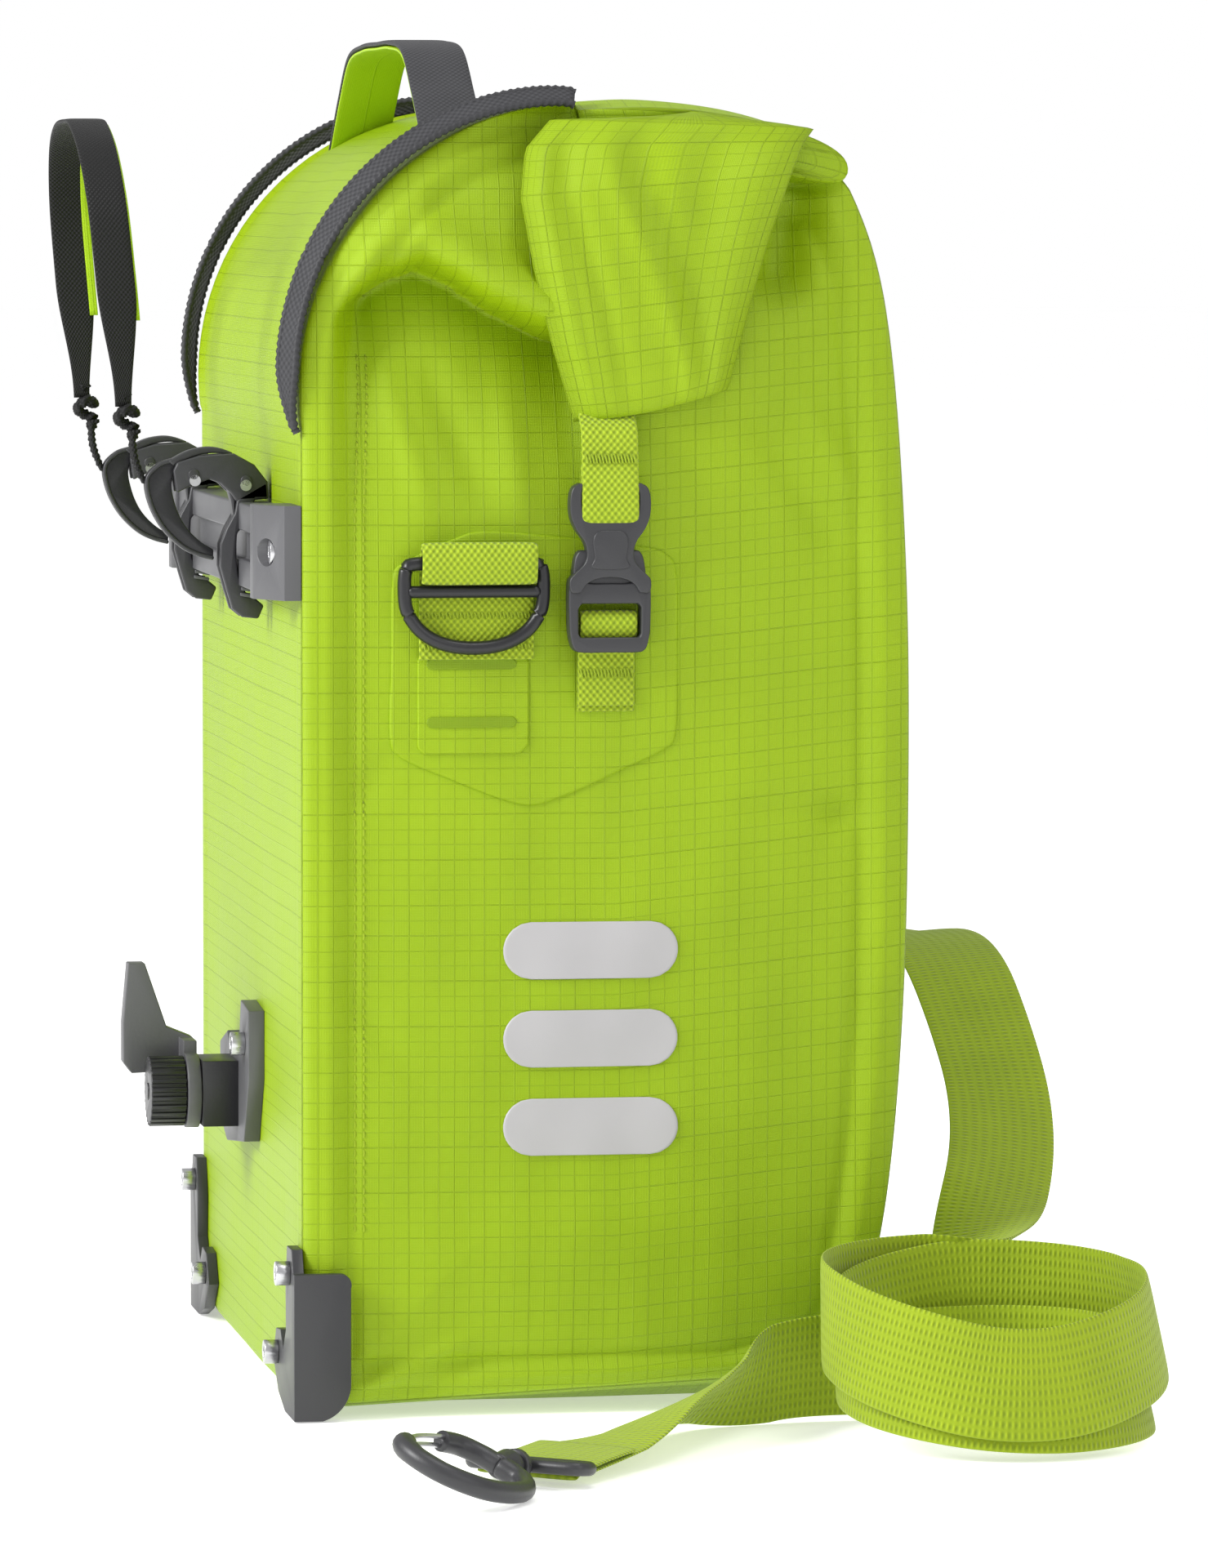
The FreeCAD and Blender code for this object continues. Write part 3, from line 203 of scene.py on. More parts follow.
def at_depth(depth, height, x=0.0):
    """Points in the row frame from distances in millimetres behind the rack panel and above the floor."""
    depth, height, x = np.broadcast_arrays(*[np.asarray(v, float) for v in (depth, height, x)])
    return np.stack([x, PANEL_Y - depth / 1000, height / 1000], -1)


def finish_mesh(piece, bevel=0.0, segments=2, angle=40):
    """Faces turned outwards, then an optional Bevel."""
    import bmesh
    work = bmesh.new()
    work.from_mesh(piece.data)
    bmesh.ops.recalc_face_normals(work, faces=work.faces)
    work.to_mesh(piece.data)
    work.free()
    if bevel:
        edge = piece.modifiers.new("rounded_edges", "BEVEL")
        edge.width, edge.segments, edge.limit_method = bevel, segments, "ANGLE"
        edge.angle_limit = math.radians(angle)
        edge.harden_normals = False
    return piece


print("helpers ready")

# %% [markdown]
# ## Finishes
# The fabric is a coated ripstop: a fine plain weave with thicker threads every five millimetres
# that stand up as a square grid. The webbing is a coarse rib weave, and the plastics are moulded
# with a fine grain. Each is a Principled shader whose colour and bump come from patterns in metres.


# %% Shader helpers
class Recipe:
    """A material under construction: nodes are made with short calls and wired by name."""

    def __init__(self, name, color, roughness, **sockets):
        self.material = bpy.data.materials.new(name)
        self.material.use_nodes = True
        self.tree = self.material.node_tree
        self.shader = self.tree.nodes["Principled BSDF"]
        self.shader.inputs["Base Color"].default_value = (*color, 1)
        self.shader.inputs["Roughness"].default_value = roughness
        for socket, value in sockets.items():
            self.shader.inputs[socket.replace("_", " ")].default_value = value
        self.material.diffuse_color = (*color, 1)

    def node(self, kind, **settings):
        made = self.tree.nodes.new(kind)
        for key, value in settings.items():
            setattr(made, key, value)
        return made

    def link(self, source, target):
        self.tree.links.new(source, target)
        return source

    def coordinates(self, kind="Object"):
        return self.node("ShaderNodeTexCoord").outputs[kind]

    def math(self, operation, a, b=0.0, c=0.0):
        made = self.node("ShaderNodeMath", operation=operation)
        for socket, value in zip(made.inputs, (a, b, c)):
            if isinstance(value, (int, float)):
                socket.default_value = value
            else:
                self.link(value, socket)
        return made.outputs[0]

    def noise(self, coordinates, scale, detail=3.0, roughness=0.5):
        made = self.node("ShaderNodeTexNoise")
        made.inputs["Scale"].default_value = scale
        made.inputs["Detail"].default_value = detail
        made.inputs["Roughness"].default_value = roughness
        self.link(coordinates, made.inputs["Vector"])
        return made.outputs["Fac"]

    def blend(self, factor, first, second):
        """A colour between two, by a factor socket."""
        made = self.node("ShaderNodeMix", data_type="RGBA")
        self.link(factor, made.inputs["Factor"])
        for number, value in ((6, first), (7, second)):
            if isinstance(value, tuple):
                made.inputs[number].default_value = (*value, 1)
            else:
                self.link(value, made.inputs[number])
        return made.outputs[2]

    def bump(self, height, distance, strength=1.0, before=None):
        made = self.node("ShaderNodeBump")
        made.inputs["Distance"].default_value = distance
        made.inputs["Strength"].default_value = strength
        self.link(height, made.inputs["Height"])
        if before is not None:
            self.link(before, made.inputs["Normal"])
        return made.outputs["Normal"]

    def done(self, color=None, roughness=None, normal=None):
        for source, socket in ((color, "Base Color"), (roughness, "Roughness"), (normal, "Normal")):
            if source is not None:
                self.link(source, self.shader.inputs[socket])
        return self.material


def thread_line(recipe, coordinate, pitch, width):
    """1 on thin lines one pitch apart, 0 between them: |fract(x / pitch) - 1/2| close to 1/2."""
    cell = recipe.math("FRACT", recipe.math("DIVIDE", coordinate, pitch))
    off = recipe.math("ABSOLUTE", recipe.math("SUBTRACT", cell, 0.5))
    made = recipe.node("ShaderNodeMapRange", interpolation_type="SMOOTHSTEP")
    recipe.link(off, made.inputs["Value"])
    made.inputs["From Min"].default_value = 0.5 - width / pitch
    made.inputs["From Max"].default_value = 0.5 - 0.3 * width / pitch
    return made.outputs[0]


def rounded_rows(recipe, coordinate, pitch):
    """|sin(pi x / pitch)|: round ribs side by side."""
    return recipe.math("ABSOLUTE", recipe.math("SINE",
        recipe.math("MULTIPLY", coordinate, math.pi / pitch)))


def ripstop(name, color, shade, grid=0.0053):
    """Plain weave of 0.55 mm with a raised thread every 5.3 mm both ways, coated to a soft sheen."""
    made = Recipe(name, color, 0.46, Specular_IOR_Level=0.28)
    split = made.node("ShaderNodeSeparateXYZ")
    made.link(made.coordinates("UV"), split.inputs[0])
    u, v = split.outputs[0], split.outputs[1]
    lines = made.math("MAXIMUM", thread_line(made, u, grid, 0.00030), thread_line(made, v, grid, 0.00030))
    weave = made.math("MULTIPLY", rounded_rows(made, u, 0.00055), rounded_rows(made, v, 0.00055))
    cloud = made.noise(made.coordinates(), 18.0, 4.0)
    mottled = made.blend(cloud, shade, color)
    coloured = made.blend(made.math("MULTIPLY", lines, 0.30), mottled, tuple(c * 0.66 for c in shade))
    crinkle = made.bump(made.noise(made.coordinates(), 60.0, 3.0), 0.0006, 0.35)
    threads = made.bump(lines, 0.00014, 0.9, crinkle)
    woven = made.bump(weave, 0.00012, 0.8, threads)
    rough = made.math("MULTIPLY_ADD", cloud, 0.15, 0.36)
    return made.done(coloured, rough, woven)


def webbing(name, color, shade, rib=0.0011, along=0.0016, roughness=0.62, depth=0.00028, ribbed=0.0):
    """Plain webbing: ribs across, offset half a step in alternate rows, as a checker of round bumps."""
    made = Recipe(name, color, roughness, Sheen_Weight=0.15 if color[1] > 0.2 else 0.02,
        Sheen_Roughness=0.5,
                  Specular_IOR_Level=0.3)
    split = made.node("ShaderNodeSeparateXYZ")
    made.link(made.coordinates("UV"), split.inputs[0])
    u, v = split.outputs[0], split.outputs[1]
    a = made.math("SINE", made.math("MULTIPLY", u, 2 * math.pi / rib))
    b = made.math("SINE", made.math("MULTIPLY", v, 2 * math.pi / along))
    checks = made.math("MULTIPLY", made.math("MULTIPLY", a, b), 1 - ribbed)
    bumps = made.math("MULTIPLY_ADD", made.math("MULTIPLY_ADD", b, ribbed, checks), 0.5, 0.5)
    cloud = made.noise(made.coordinates(), 40.0, 3.0)
    # Colour: painted shade in the weave, darker where the bumps are low and lighter on their tops, mixed
    # with a random cloud of uneven tone.
    bump_shade_and_cloud = made.math("MULTIPLY_ADD", cloud, 0.35, made.math("MULTIPLY", bumps, 0.65))
    coloured = made.blend(bump_shade_and_cloud, shade, color)
    return made.done(coloured, None, made.bump(bumps, depth, 1.0))


def moulded(name, color, roughness, grain=900.0, depth=0.00005, spread=0.12):
    """Moulded plastic: an even colour with a fine grain and slightly uneven gloss."""
    made = Recipe(name, color, roughness)
    place = made.coordinates()
    fine, cloud = made.noise(place, grain, 2.0), made.noise(place, 35.0, 3.0)
    coloured = made.blend(cloud, tuple(c * (1 - spread) for c in color),
        tuple(c * (1 + spread) for c in color))
    rough = made.math("MULTIPLY_ADD", cloud, 0.16, roughness - 0.08)
    return made.done(coloured, rough, made.bump(fine, depth, 0.8))


LIME, LIME_SHADE = (0.290, 0.432, 0.0015), (0.240, 0.370, 0.001)
finishes = {
    "ripstop_fabric": ripstop("ripstop_fabric", LIME, LIME_SHADE),
    "patch_fabric": ripstop("patch_fabric", (0.285, 0.425, 0.0015), (0.245, 0.375, 0.001), grid=0.5),
    "green_lining": ripstop("green_lining", (0.36, 0.56, 0.004), (0.31, 0.49, 0.003), grid=0.5),
    "woven_trim": webbing("woven_trim", (0.055, 0.055, 0.060), (0.010, 0.010, 0.012), 0.0028, 0.0028, 0.6),
    "grey_webbing": webbing("grey_webbing", (0.062, 0.062, 0.068), (0.012, 0.012, 0.014), 0.0022, 0.0022,
    0.6),
    "lime_webbing": webbing("lime_webbing", (0.48, 0.63, 0.02), (0.11, 0.18, 0.001), 0.0024, 0.0028, 0.7,
    0.0006),
    "strap_webbing": webbing("strap_webbing", (0.38, 0.50, 0.006), (0.14, 0.21, 0.001), 0.0036, 0.0019, 0.7,
    0.0005,
                              ribbed=0.55),
    "black_webbing": webbing("black_webbing", (0.0065, 0.0065, 0.007), (0.001, 0.001, 0.001), 0.0016,
    0.0018, 0.6),
    "reflective_print": moulded("reflective_print", (0.40, 0.39, 0.40), 0.38, 2600.0, 0.00004, 0.06),
    "charcoal_plastic": moulded("charcoal_plastic", (0.030, 0.030, 0.033), 0.40),
    "black_plastic": moulded("black_plastic", (0.010, 0.010, 0.012), 0.36),
    "grey_plastic": moulded("grey_plastic", (0.085, 0.085, 0.090), 0.45),
    "slot_fabric": ripstop("slot_fabric", (0.20, 0.31, 0.001), (0.16, 0.26, 0.001), grid=0.5),
    "cord_yarn": moulded("cord_yarn", (0.022, 0.022, 0.025), 0.6, 700.0, 0.0002, 0.4),
    "rail_plastic": moulded("rail_plastic", (0.075, 0.075, 0.08), 0.4),
    "board_plastic": moulded("board_plastic", (0.015, 0.015, 0.017), 0.5),
}
metal = Recipe("steel", (0.58, 0.58, 0.60), 0.3, Metallic=1.0)
finishes["steel"] = metal.done(None, metal.math("MULTIPLY_ADD", metal.noise(metal.coordinates(), 300.0),
    0.2, 0.2))
paper = Recipe("studio_floor", (0.93, 0.93, 0.93), 0.9, Emission_Color=(1, 1, 1, 1), Emission_Strength=0.42)
floor_mesh.materials.append(paper.done(paper.blend(paper.noise(paper.coordinates(), 1.5),
    (0.92, 0.92, 0.92),
                                                   (0.94, 0.94, 0.94))))

slot_of = {part["node"]: part["material_slot"] for part in frame["record"]["subparts"]}
for node, piece in frame["nodes"].items():
    piece.data.materials.clear()
    piece.data.materials.append(finishes[slot_of[node]])
print(len(finishes), "finishes made")

# %% [markdown]
# ## Shoulder strap
# The strap is 38 mm webbing, 1.6 mm thick. It hangs from the right D-ring, crosses a crest behind
# the bag, winds twice on edge into a loose coil, and ends in a snap hook on the floor. Its line is
# one smooth NURBS curve, read back as points, and the ribbon is swept along it with a twist that
# brings it from flat over the crest to standing on edge in the coil.

# %% The strap's line
STRAP_WIDTH = 0.038
BACK_ROUTE = [(0.1733, 0.0177, 0.196), (0.1738, 0.0145, 0.180), (0.176, -0.004, 0.165),
    (0.177, -0.036, 0.152),
              (0.176, -0.088, 0.136), (0.172, -0.134, 0.134), (0.142, -0.162, 0.138),
              (0.094, -0.176, 0.143),
              (0.046, -0.183, 0.152), (0.006, -0.187, 0.146), (-0.030, -0.190, 0.122),
              (-0.060, -0.191, 0.099),
              (-0.094, -0.184, 0.078), (-0.132, -0.168, 0.057)]
FRONT_ROUTE = [(-0.181, -0.096, 0.021), (-0.190, -0.072, 0.017), (-0.208, -0.052, 0.014),
    (-0.228, -0.036, 0.013),
               (-0.252, -0.020, 0.0085), (-0.274, 0.001, 0.0052), (-0.2945, 0.0165, 0.0043)]
COIL_X, COIL_Y = -0.226, -0.152
turn = np.arange(0, 721, 24.0)
outer = 0.058 - 0.010 * turn / 720
coil = np.stack([COIL_X + outer * np.cos(np.radians(turn)),
                 COIL_Y + (outer + 0.003) * np.sin(np.radians(turn)),
                 np.interp(turn, [0, 90, 180, 270, 360, 450, 540, 630, 720],
                           [.046, .044, .024, .042, .044, .032, .021, .022, .021])], -1)
route = BACK_ROUTE + [tuple(p) for p in coil] + FRONT_ROUTE


def nurbs_points(points, resolution=8):
    """The points of a smooth NURBS line of order 3 that has the given control points."""
    data = bpy.data.curves.new("line", "CURVE")
    data.dimensions = "3D"
    data.resolution_u = resolution
    spline = data.splines.new("NURBS")
    spline.points.add(len(points) - 1)
    spline.points.foreach_set("co", [c for p in points for c in (*p, 1.0)])
    spline.order_u = 3
    spline.use_endpoint_u = True
    holder = bpy.data.objects.new("line", data)
    bpy.context.scene.collection.objects.link(holder)
    bpy.context.view_layer.update()
    mesh = bpy.data.meshes.new_from_object(holder)
    line = np.array([v.co[:] for v in mesh.vertices])
    bpy.data.objects.remove(holder)
    bpy.data.meshes.remove(mesh)
    return line


strap_line = nurbs_points(route)


# %% The strap's ribbon
def held_vectors(line, count, keys):
    """Across-vectors at the line's points, blended between keys (control point number, vector)."""
    place = np.linspace(0, count - 1, len(line))
    numbers = [key for key, _ in keys]
    wanted = np.array([vector for _, vector in keys], float)
    across = np.stack([np.interp(place, numbers, wanted[:, k]) for k in range(3)], -1)
    tangent = unit(np.gradient(line, axis=0))
    across = unit(across - (across * tangent).sum(1, keepdims=True) * tangent)
    return across, np.cross(tangent, across)


strap_keys = [(0, (0, 1, 0)), (2, (0.2, 1, 0.3)), (4, (0.1, 0, 1)), (5, (0.2, -0.3, 0.9)),
    (6, (0.4, -0.8, 0.3)),
              (7, (0.2, -1, 0.05)), (9, (0, -1, 0.05)), (12, (0.1, -1, 0.0)), (13, (0, -0.9, 0.5)),
              (15, (0.05, 0, 1)),
              (22, (0.10, 0, 1)), (26, (0, 0.30, 1)), (30, (0.05, 0, 1)), (37, (0.25, 0, 1)),
              (41, (0, 0.30, 1)),
              (44, (0.05, 0, 1)), (46, (-0.35, 0.25, 0.7)), (47, (-0.5, -0.2, 0.45)),
              (48, (-0.6, -0.55, 0.40)),
              (49, (-0.6, -0.7, 0.30)), (50, (-0.59, -0.81, 0.05)), (51, (-0.59, -0.81, 0))]
strap_across, strap_up = held_vectors(strap_line, len(route), strap_keys)
points, faces, uv = tape(strap_line, strap_across, strap_up, STRAP_WIDTH, 0.0016)
shoulder_strap = add_piece("shoulder_strap", points, faces, finishes["strap_webbing"], "bag",
    uv)
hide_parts("strap_back", "strap_coil", "strap_front")
print("strap ribbon:", len(faces), "faces")

# %% [markdown]
# ## The fabric body
# The body is sewn and welded from a long band of ripstop and two end panels. The band is the CAD
# section, a closed outline, carried across the width; near each end it turns a small round corner
# and becomes the end panel, whose rings of points close in on a line down its middle. Then the
# whole shell is pushed in and out by sums of soft bumps: a welded seam with puckers along each
# edge, the hollow under the folded top, a crease at the lower corner and slow waves where the
# fabric sags. Plain displacement is enough, because coated fabric keeps such shapes by itself.


# %% The section as an outline
def arc_through(start, middle, end, count=24):
    """Points on the circle through three points, by intersecting two perpendicular bisectors."""
    (ax, ay), (bx, by), (cx, cy) = start, middle, end
    d = 2 * (ax * (by - cy) + bx * (cy - ay) + cx * (ay - by))
    a2, b2, c2 = ax * ax + ay * ay, bx * bx + by * by, cx * cx + cy * cy
    ux = (a2 * (by - cy) + b2 * (cy - ay) + c2 * (ay - by)) / d
    uy = (a2 * (cx - bx) + b2 * (ax - cx) + c2 * (bx - ax)) / d
    angles = np.unwrap([math.atan2(p[1] - uy, p[0] - ux) for p in (start, middle, end)])
    t = np.linspace(angles[0], angles[2], count)
    radius = math.hypot(ax - ux, ay - uy)
    return np.stack([ux + radius * np.cos(t), uy + radius * np.sin(t)], -1)


section = np.vstack([
    [[8, 0]], arc_through((8, 0), (2.4, 2.4), (0, 8))[1:], [[0, 345]],
    arc_through((0, 345), (20.2, 421), (96, 459))[1:], [[102, 438]],
    arc_through((102, 438), (150, 438), (189, 434))[1:],
    smooth_curve([(189, 434), (192.5, 431), (201.5, 409), (207.5, 381), (212, 335), (215, 267),
    (214.8, 180), (212.5, 123),
                  (208.5, 79), (203, 46)], 60)[1:],
    arc_through((203, 46), (195, 20), (178, 8))[1:], [[152, 0.5]],
])
RING = 440
ring = resample(section, RING, closed=True)
ring_run = np.linspace(0, 1, RING, endpoint=False) * np.linalg.norm(
    np.diff(np.vstack([ring, ring[:1]]), axis=0), axis=1).sum()
along = unit(np.roll(ring, -1, 0) - np.roll(ring, 1, 0))
inward = np.stack([along[:, 1], -along[:, 0]], -1)
if ((ring + inward - [100, 220]) ** 2).sum() > ((ring - [100, 220]) ** 2).sum():
    inward = -inward
for _ in range(6):                      # an even turn of the inward direction at the corners
    inward = unit(inward + np.roll(inward, 1, 0) + np.roll(inward, -1, 0))
print("section outline of", RING, "points")


# %% Bumps on the end panels
def line_distance(u, z, a, b):
    """Distance from points to a segment, and how far along it, from 0 to 1."""
    a, b = np.array(a, float), np.array(b, float)
    step = b - a
    t = np.clip(((u - a[0]) * step[0] + (z - a[1]) * step[1]) / (step @ step), 0, 1)
    return np.hypot(u - a[0] - t * step[0], z - a[1] - t * step[1]), t


def crease(u, z, a, b, height, width):
    """A soft ridge or valley along a segment that fades out towards its ends."""
    gap, t = line_distance(u, z, a, b)
    return height * np.exp(-(gap / width) ** 2) * np.sin(np.pi * np.clip(t, 0.02, 0.98)) ** 0.6


def waves(u, z, seed, size, count=9):
    """Slow irregular undulation: a sum of sines with seeded directions, all near one wavelength."""
    random = np.random.default_rng(seed)
    total = np.zeros_like(u)
    for _ in range(count):
        angle, phase = random.uniform(0, np.pi), random.uniform(0, 2 * np.pi)
        length = size * random.uniform(0.6, 1.6)
        total += np.sin(2 * np.pi * (u * np.cos(angle) + z * np.sin(angle)) / length + phase)
    return total / math.sqrt(count)


def end_relief(u, z, edge, side):
    """How far the end panel stands out, in millimetres, at a depth, height and distance from its edge."""
    seed = 3 if side < 0 else 8
    out = 4.5 * smoothstep(0, 70, edge) + 0.95 * waves(u, z, seed, 120) * smoothstep(10, 40, edge)
    out += 0.34 * waves(u, z, seed + 1, 34) * smoothstep(5, 25, edge)
    pucker = 1 + 0.5 * np.sin(z / 3.9 + 2 * np.sin(z / 23)) * smoothstep(60, 140,
        z) * (1 - smoothstep(250, 330, z))
    out += 2.0 * np.exp(-((edge - 9) / 4.6) ** 2) * (0.75 + 0.25 * pucker)
    out -= 1.1 * np.exp(-((edge - 17.5) / 2.2) ** 2)
    fold_line = np.interp(u, [0, 18, 30, 42, 54, 66, 86, 110], [376, 389, 397, 401, 395, 387, 377, 371])
    window = smoothstep(9, 24, u) * (1 - smoothstep(92, 118, u))
    below, above = fold_line - z, z - fold_line
    hollow = np.where(below > 0, np.exp(-below / 26), np.exp(-above / 2.4))
    out -= 23 * hollow * window
    out += 8 * np.exp(-((above - 12) / 11) ** 2) * window
    out += crease(u, z, (11, 2), (60, 27), 2.6, 4.0) - crease(u, z, (15, -6), (68, 18), 1.8, 5.0)
    out += crease(u, z, (26, 372), (44, 318), 1.9, 5.0) - crease(u, z, (40, 376), (66, 316), 2.2, 6.0)
    out += crease(u, z, (70, 366), (78, 310), 1.7, 6.0) + crease(u, z, (104, 350), (150, 292), 1.2, 8.0)
    out -= crease(u, z, (158, 356), (190, 300), 2.4, 7.0) - crease(u, z, (172, 362), (196, 322), 1.6, 5.0)
    out -= 2.8 * np.exp(-((u - 190) / 7) ** 2 - ((z - 211) / 5) ** 2)
    out -= crease(u, z, (150, 214), (192, 210), 1.2, 4.0)
    out -= crease(u, z, (14, 150), (40, 120), 0.9, 5.0) + crease(u, z, (16, 214), (34, 236), 0.9, 5.0)
    gusset, _ = line_distance(u, z, (176, 444), (168, 402))
    out -= 12 * np.exp(-(gusset / 11) ** 2)
    out -= 9 * smoothstep(425, 455, z) * smoothstep(40, 90, u)
    return out


def raised_base(flat, share):
    """The base curves up towards the end panels, more at the outer side."""
    lifted = flat.copy()
    lifted[:, 1] += share * (4.5 + 0.045 * flat[:, 0]) * np.clip(1 - flat[:, 1] / 42, 0, 1) ** 2
    return lifted


def shell_points():
    """Rings from the middle of one end panel across the band to the middle of the other."""
    rows, where = [], []
    corner = 6.0
    middle_line = np.stack([np.full(RING, 100.0), np.clip(ring[:, 1], 96, 372)], -1)
    middle_line[:, 0] = np.interp(middle_line[:, 1], [96, 372], [100, 108])
    base = ring + inward * corner
    caps = np.linspace(0, 1, 58) ** 0.9
    for side in (-1, 1):
        cap = []
        for r in caps:
            start_line = middle_line.copy()
            if r == 0:
                start_line[:, 1] = np.round(start_line[:, 1] / 4) * 4
                start_line[:, 0] = np.interp(start_line[:, 1], [96, 372], [100, 108])
            flat = start_line + (base - start_line) * r
            edge = np.full(RING, 1e9)
            for start in range(0, RING, 110):
                gap = np.linalg.norm(flat[start:start + 110, None] - ring[None], axis=2).min(1)
                edge[start:start + 110] = gap
            out = end_relief(flat[:, 0], flat[:, 1], edge, side)
            flat = raised_base(flat, 1.0)
            cap.append(at_depth(flat[:, 0], flat[:, 1], side * (HALF_WIDTH + (out - 4.0) / 1000)))
        rim = end_relief(base[:, 0], base[:, 1], np.full(RING, corner), side) - 4.0
        for angle in np.radians([24, 48, 70]):
            flat = raised_base(ring + inward * corner * (1 - math.sin(angle)), 1.0)
            share = math.cos(angle)
            cap.append(at_depth(flat[:, 0], flat[:, 1],
                                side * (HALF_WIDTH - corner * (1 - share) / 1000 + rim * share / 1000)))
        rows.append(cap)
        where.append([np.stack([PANEL_Y - p[:, 1], p[:, 2]], -1) for p in cap])
    across = np.sin(np.linspace(-np.pi / 2, np.pi / 2, 64)) * (HALF_WIDTH - corner / 1000)
    band, band_uv = [], []
    for x in across:
        from_end = (HALF_WIDTH - abs(x)) * 1000
        push = 1.1 * np.exp(-((from_end - 12) / 4.5) ** 2) - 0.8 * np.exp(-((from_end - 19) / 2.0) ** 2)
        push = push + 0.5 * waves(ring_run, np.full(RING, x * 1000), 21, 110) * smoothstep(8, 45, from_end)
        push *= 1 - 0.65 * (ring[:, 0] < 3) * (ring[:, 1] < 345)
        flat = ring - inward * push[:, None]
        flat = raised_base(flat, 1 - smoothstep(0, 48, from_end))
        flat[:, 1] = np.maximum(flat[:, 1], 0.3)
        band.append(at_depth(flat[:, 0], flat[:, 1], x))
        band_uv.append(np.stack([np.full(RING, x), ring_run / 1000], -1))
    skewed = []
    for rows_of in where:
        skewed.append([np.stack([w[:, 0], w[:, 1] - 0.10 * np.maximum(w[:, 0] - 0.11, 0)],
            -1) for w in rows_of])
    points = np.array(rows[0] + band + rows[1][::-1])
    uv = np.array(skewed[0] + band_uv + skewed[1][::-1])
    return points, uv


def close_seams(piece):
    """Merges coincident points and drops faces with no area, so a fan or a fold line is closed."""
    import bmesh
    work = bmesh.new()
    work.from_mesh(piece.data)
    bmesh.ops.remove_doubles(work, verts=work.verts, dist=1e-5)
    bmesh.ops.dissolve_degenerate(work, edges=work.edges, dist=1e-6)
    work.to_mesh(piece.data)
    work.free()


points, uv = shell_points()
faces = grid_faces(*points.shape[:2], wrap_columns=True)
bag_shell = add_piece("bag_shell", points.reshape(-1, 3), faces,
                      finishes["ripstop_fabric"], "bag", uv.reshape(-1, 2))
close_seams(bag_shell)
finish_mesh(bag_shell)
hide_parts("back_panel", "base_panel", "outer_panel", "end_panel_left", "end_panel_right")
print("bag shell:", len(bag_shell.data.polygons), "faces")

# %% [markdown]
# ## The rolled closure
# The mouth is rolled down on itself, and both ends of the roll are folded against the end panels.
# That is one soft tube: thick over the middle, squeezed where it turns down, and flat in its two
# flaps. Each cross-section is a closed outline, and the sections blend along the tube.

# %% The roll and its folded ends
roll_section = resample(np.vstack([
    smooth_curve([(97, 459.5), (118, 460.5), (142, 458.5), (160, 454.8), (176, 449.2), (186, 443.5),
    (191.5, 437.5),
                  (192.5, 431.5), (190, 428), (184, 428)], 60),
    arc_through((184, 428), (150, 435), (101, 438))[1:]]), 96, closed=True)
roll_rows = []
# Each share of the way down: left edge (depth), its height, right edge, its height, how far it
# stands out from the end panel, and its thickness.
flap = {
    0.00: (92, 460, 186, 452, 2.0, 16.0), 0.16: (86, 453, 179, 450, 5.5, 14.0),
    0.24: (77, 443, 174.5, 445, 9.5, 9.0),
    0.34: (75, 426, 169.5, 434, 12.5, 7.0),
    0.55: (79.5, 402, 162, 412, 12.5, 6.0), 0.78: (86.5, 375, 154.5, 384, 10.5, 5.0),
    0.96: (93.5, 352, 149, 362, 8.6, 4.0), 1.00: (94.5, 348.5, 148, 359.5, 8.4, 1.6)}
keys = np.array(sorted(flap))
table = np.array([flap[k] for k in keys], float)
theta = np.linspace(0, 2 * np.pi, 96, endpoint=False)


def flap_ring(t, side):
    """A flattened tube section of the folded end, blended between the keys above."""
    left_u, left_z, right_u, right_z, out, thick = [np.interp(t, keys, table[:, k]) for k in range(6)]
    share = (1 + np.sign(np.cos(theta)) * np.abs(np.cos(theta)) ** 0.8) / 2
    bulge = np.sign(np.sin(theta)) * np.abs(np.sin(theta)) ** 0.95 * thick / 2
    u = right_u + (left_u - right_u) * share
    z = right_z + (left_z - right_z) * share - 2.0 * np.sin(np.pi * share) * (t > 0.9)
    fade = np.sin(np.pi * np.clip(t, 0.05, 0.98)) ** 0.7
    wrinkle = 1.0 * np.sin(5.2 * share + 6 * t) * (1 - smoothstep(0.6, 1.0, t))
    for start, drift, height, width in ((0.86, -0.62, 2.6, 0.050), (0.74, -0.62, -2.4, 0.055),
        (0.55, -0.30, 1.6, 0.07),
                                        (0.93, -0.30, -2.0, 0.045), (0.30, 0.05, -1.2, 0.08),
                                        (0.97, -0.12, 1.8, 0.04)):
        wrinkle = wrinkle + height * fade * np.exp(-((share - start - drift * t) / width) ** 2)
    tuck = -3.0 * smoothstep(0.75, 1.0, share) + 2.2 * np.exp(-((share - 0.12) / 0.12) ** 2)
    x = side * (HALF_WIDTH + (out + bulge + (wrinkle + tuck) * smoothstep(0.1, 0.3, t) - 3) / 1000)
    return at_depth(u, z, x)


start_share = np.argmin(np.abs(roll_section[:, 0] - 192) + np.abs(roll_section[:, 1] - 438))
roll_section = np.roll(roll_section, -start_share, axis=0)[::-1]
for side in (-1, 1):
    drops = [flap_ring(t, side) for t in np.linspace(0.16, 1.0, 46)]
    roll_rows.append(drops[::-1] if side < 0 else drops)
middle = []
for x in np.linspace(-0.1465, 0.1465, 60):
    sag = 1.2 * np.sin(x * 31) + 0.8 * np.sin(x * 67 + 1)
    squeeze = smoothstep(0.128, 0.150, abs(x))
    section_here = roll_section + np.stack([np.zeros(96), np.full(96, sag * 0.35)], -1)
    centre = section_here.mean(0)
    section_here = centre + (section_here - centre) * [1, 1 - 0.25 * squeeze]
    middle.append(at_depth(section_here[:, 0], section_here[:, 1], x))
first, last = middle[0], middle[-1]


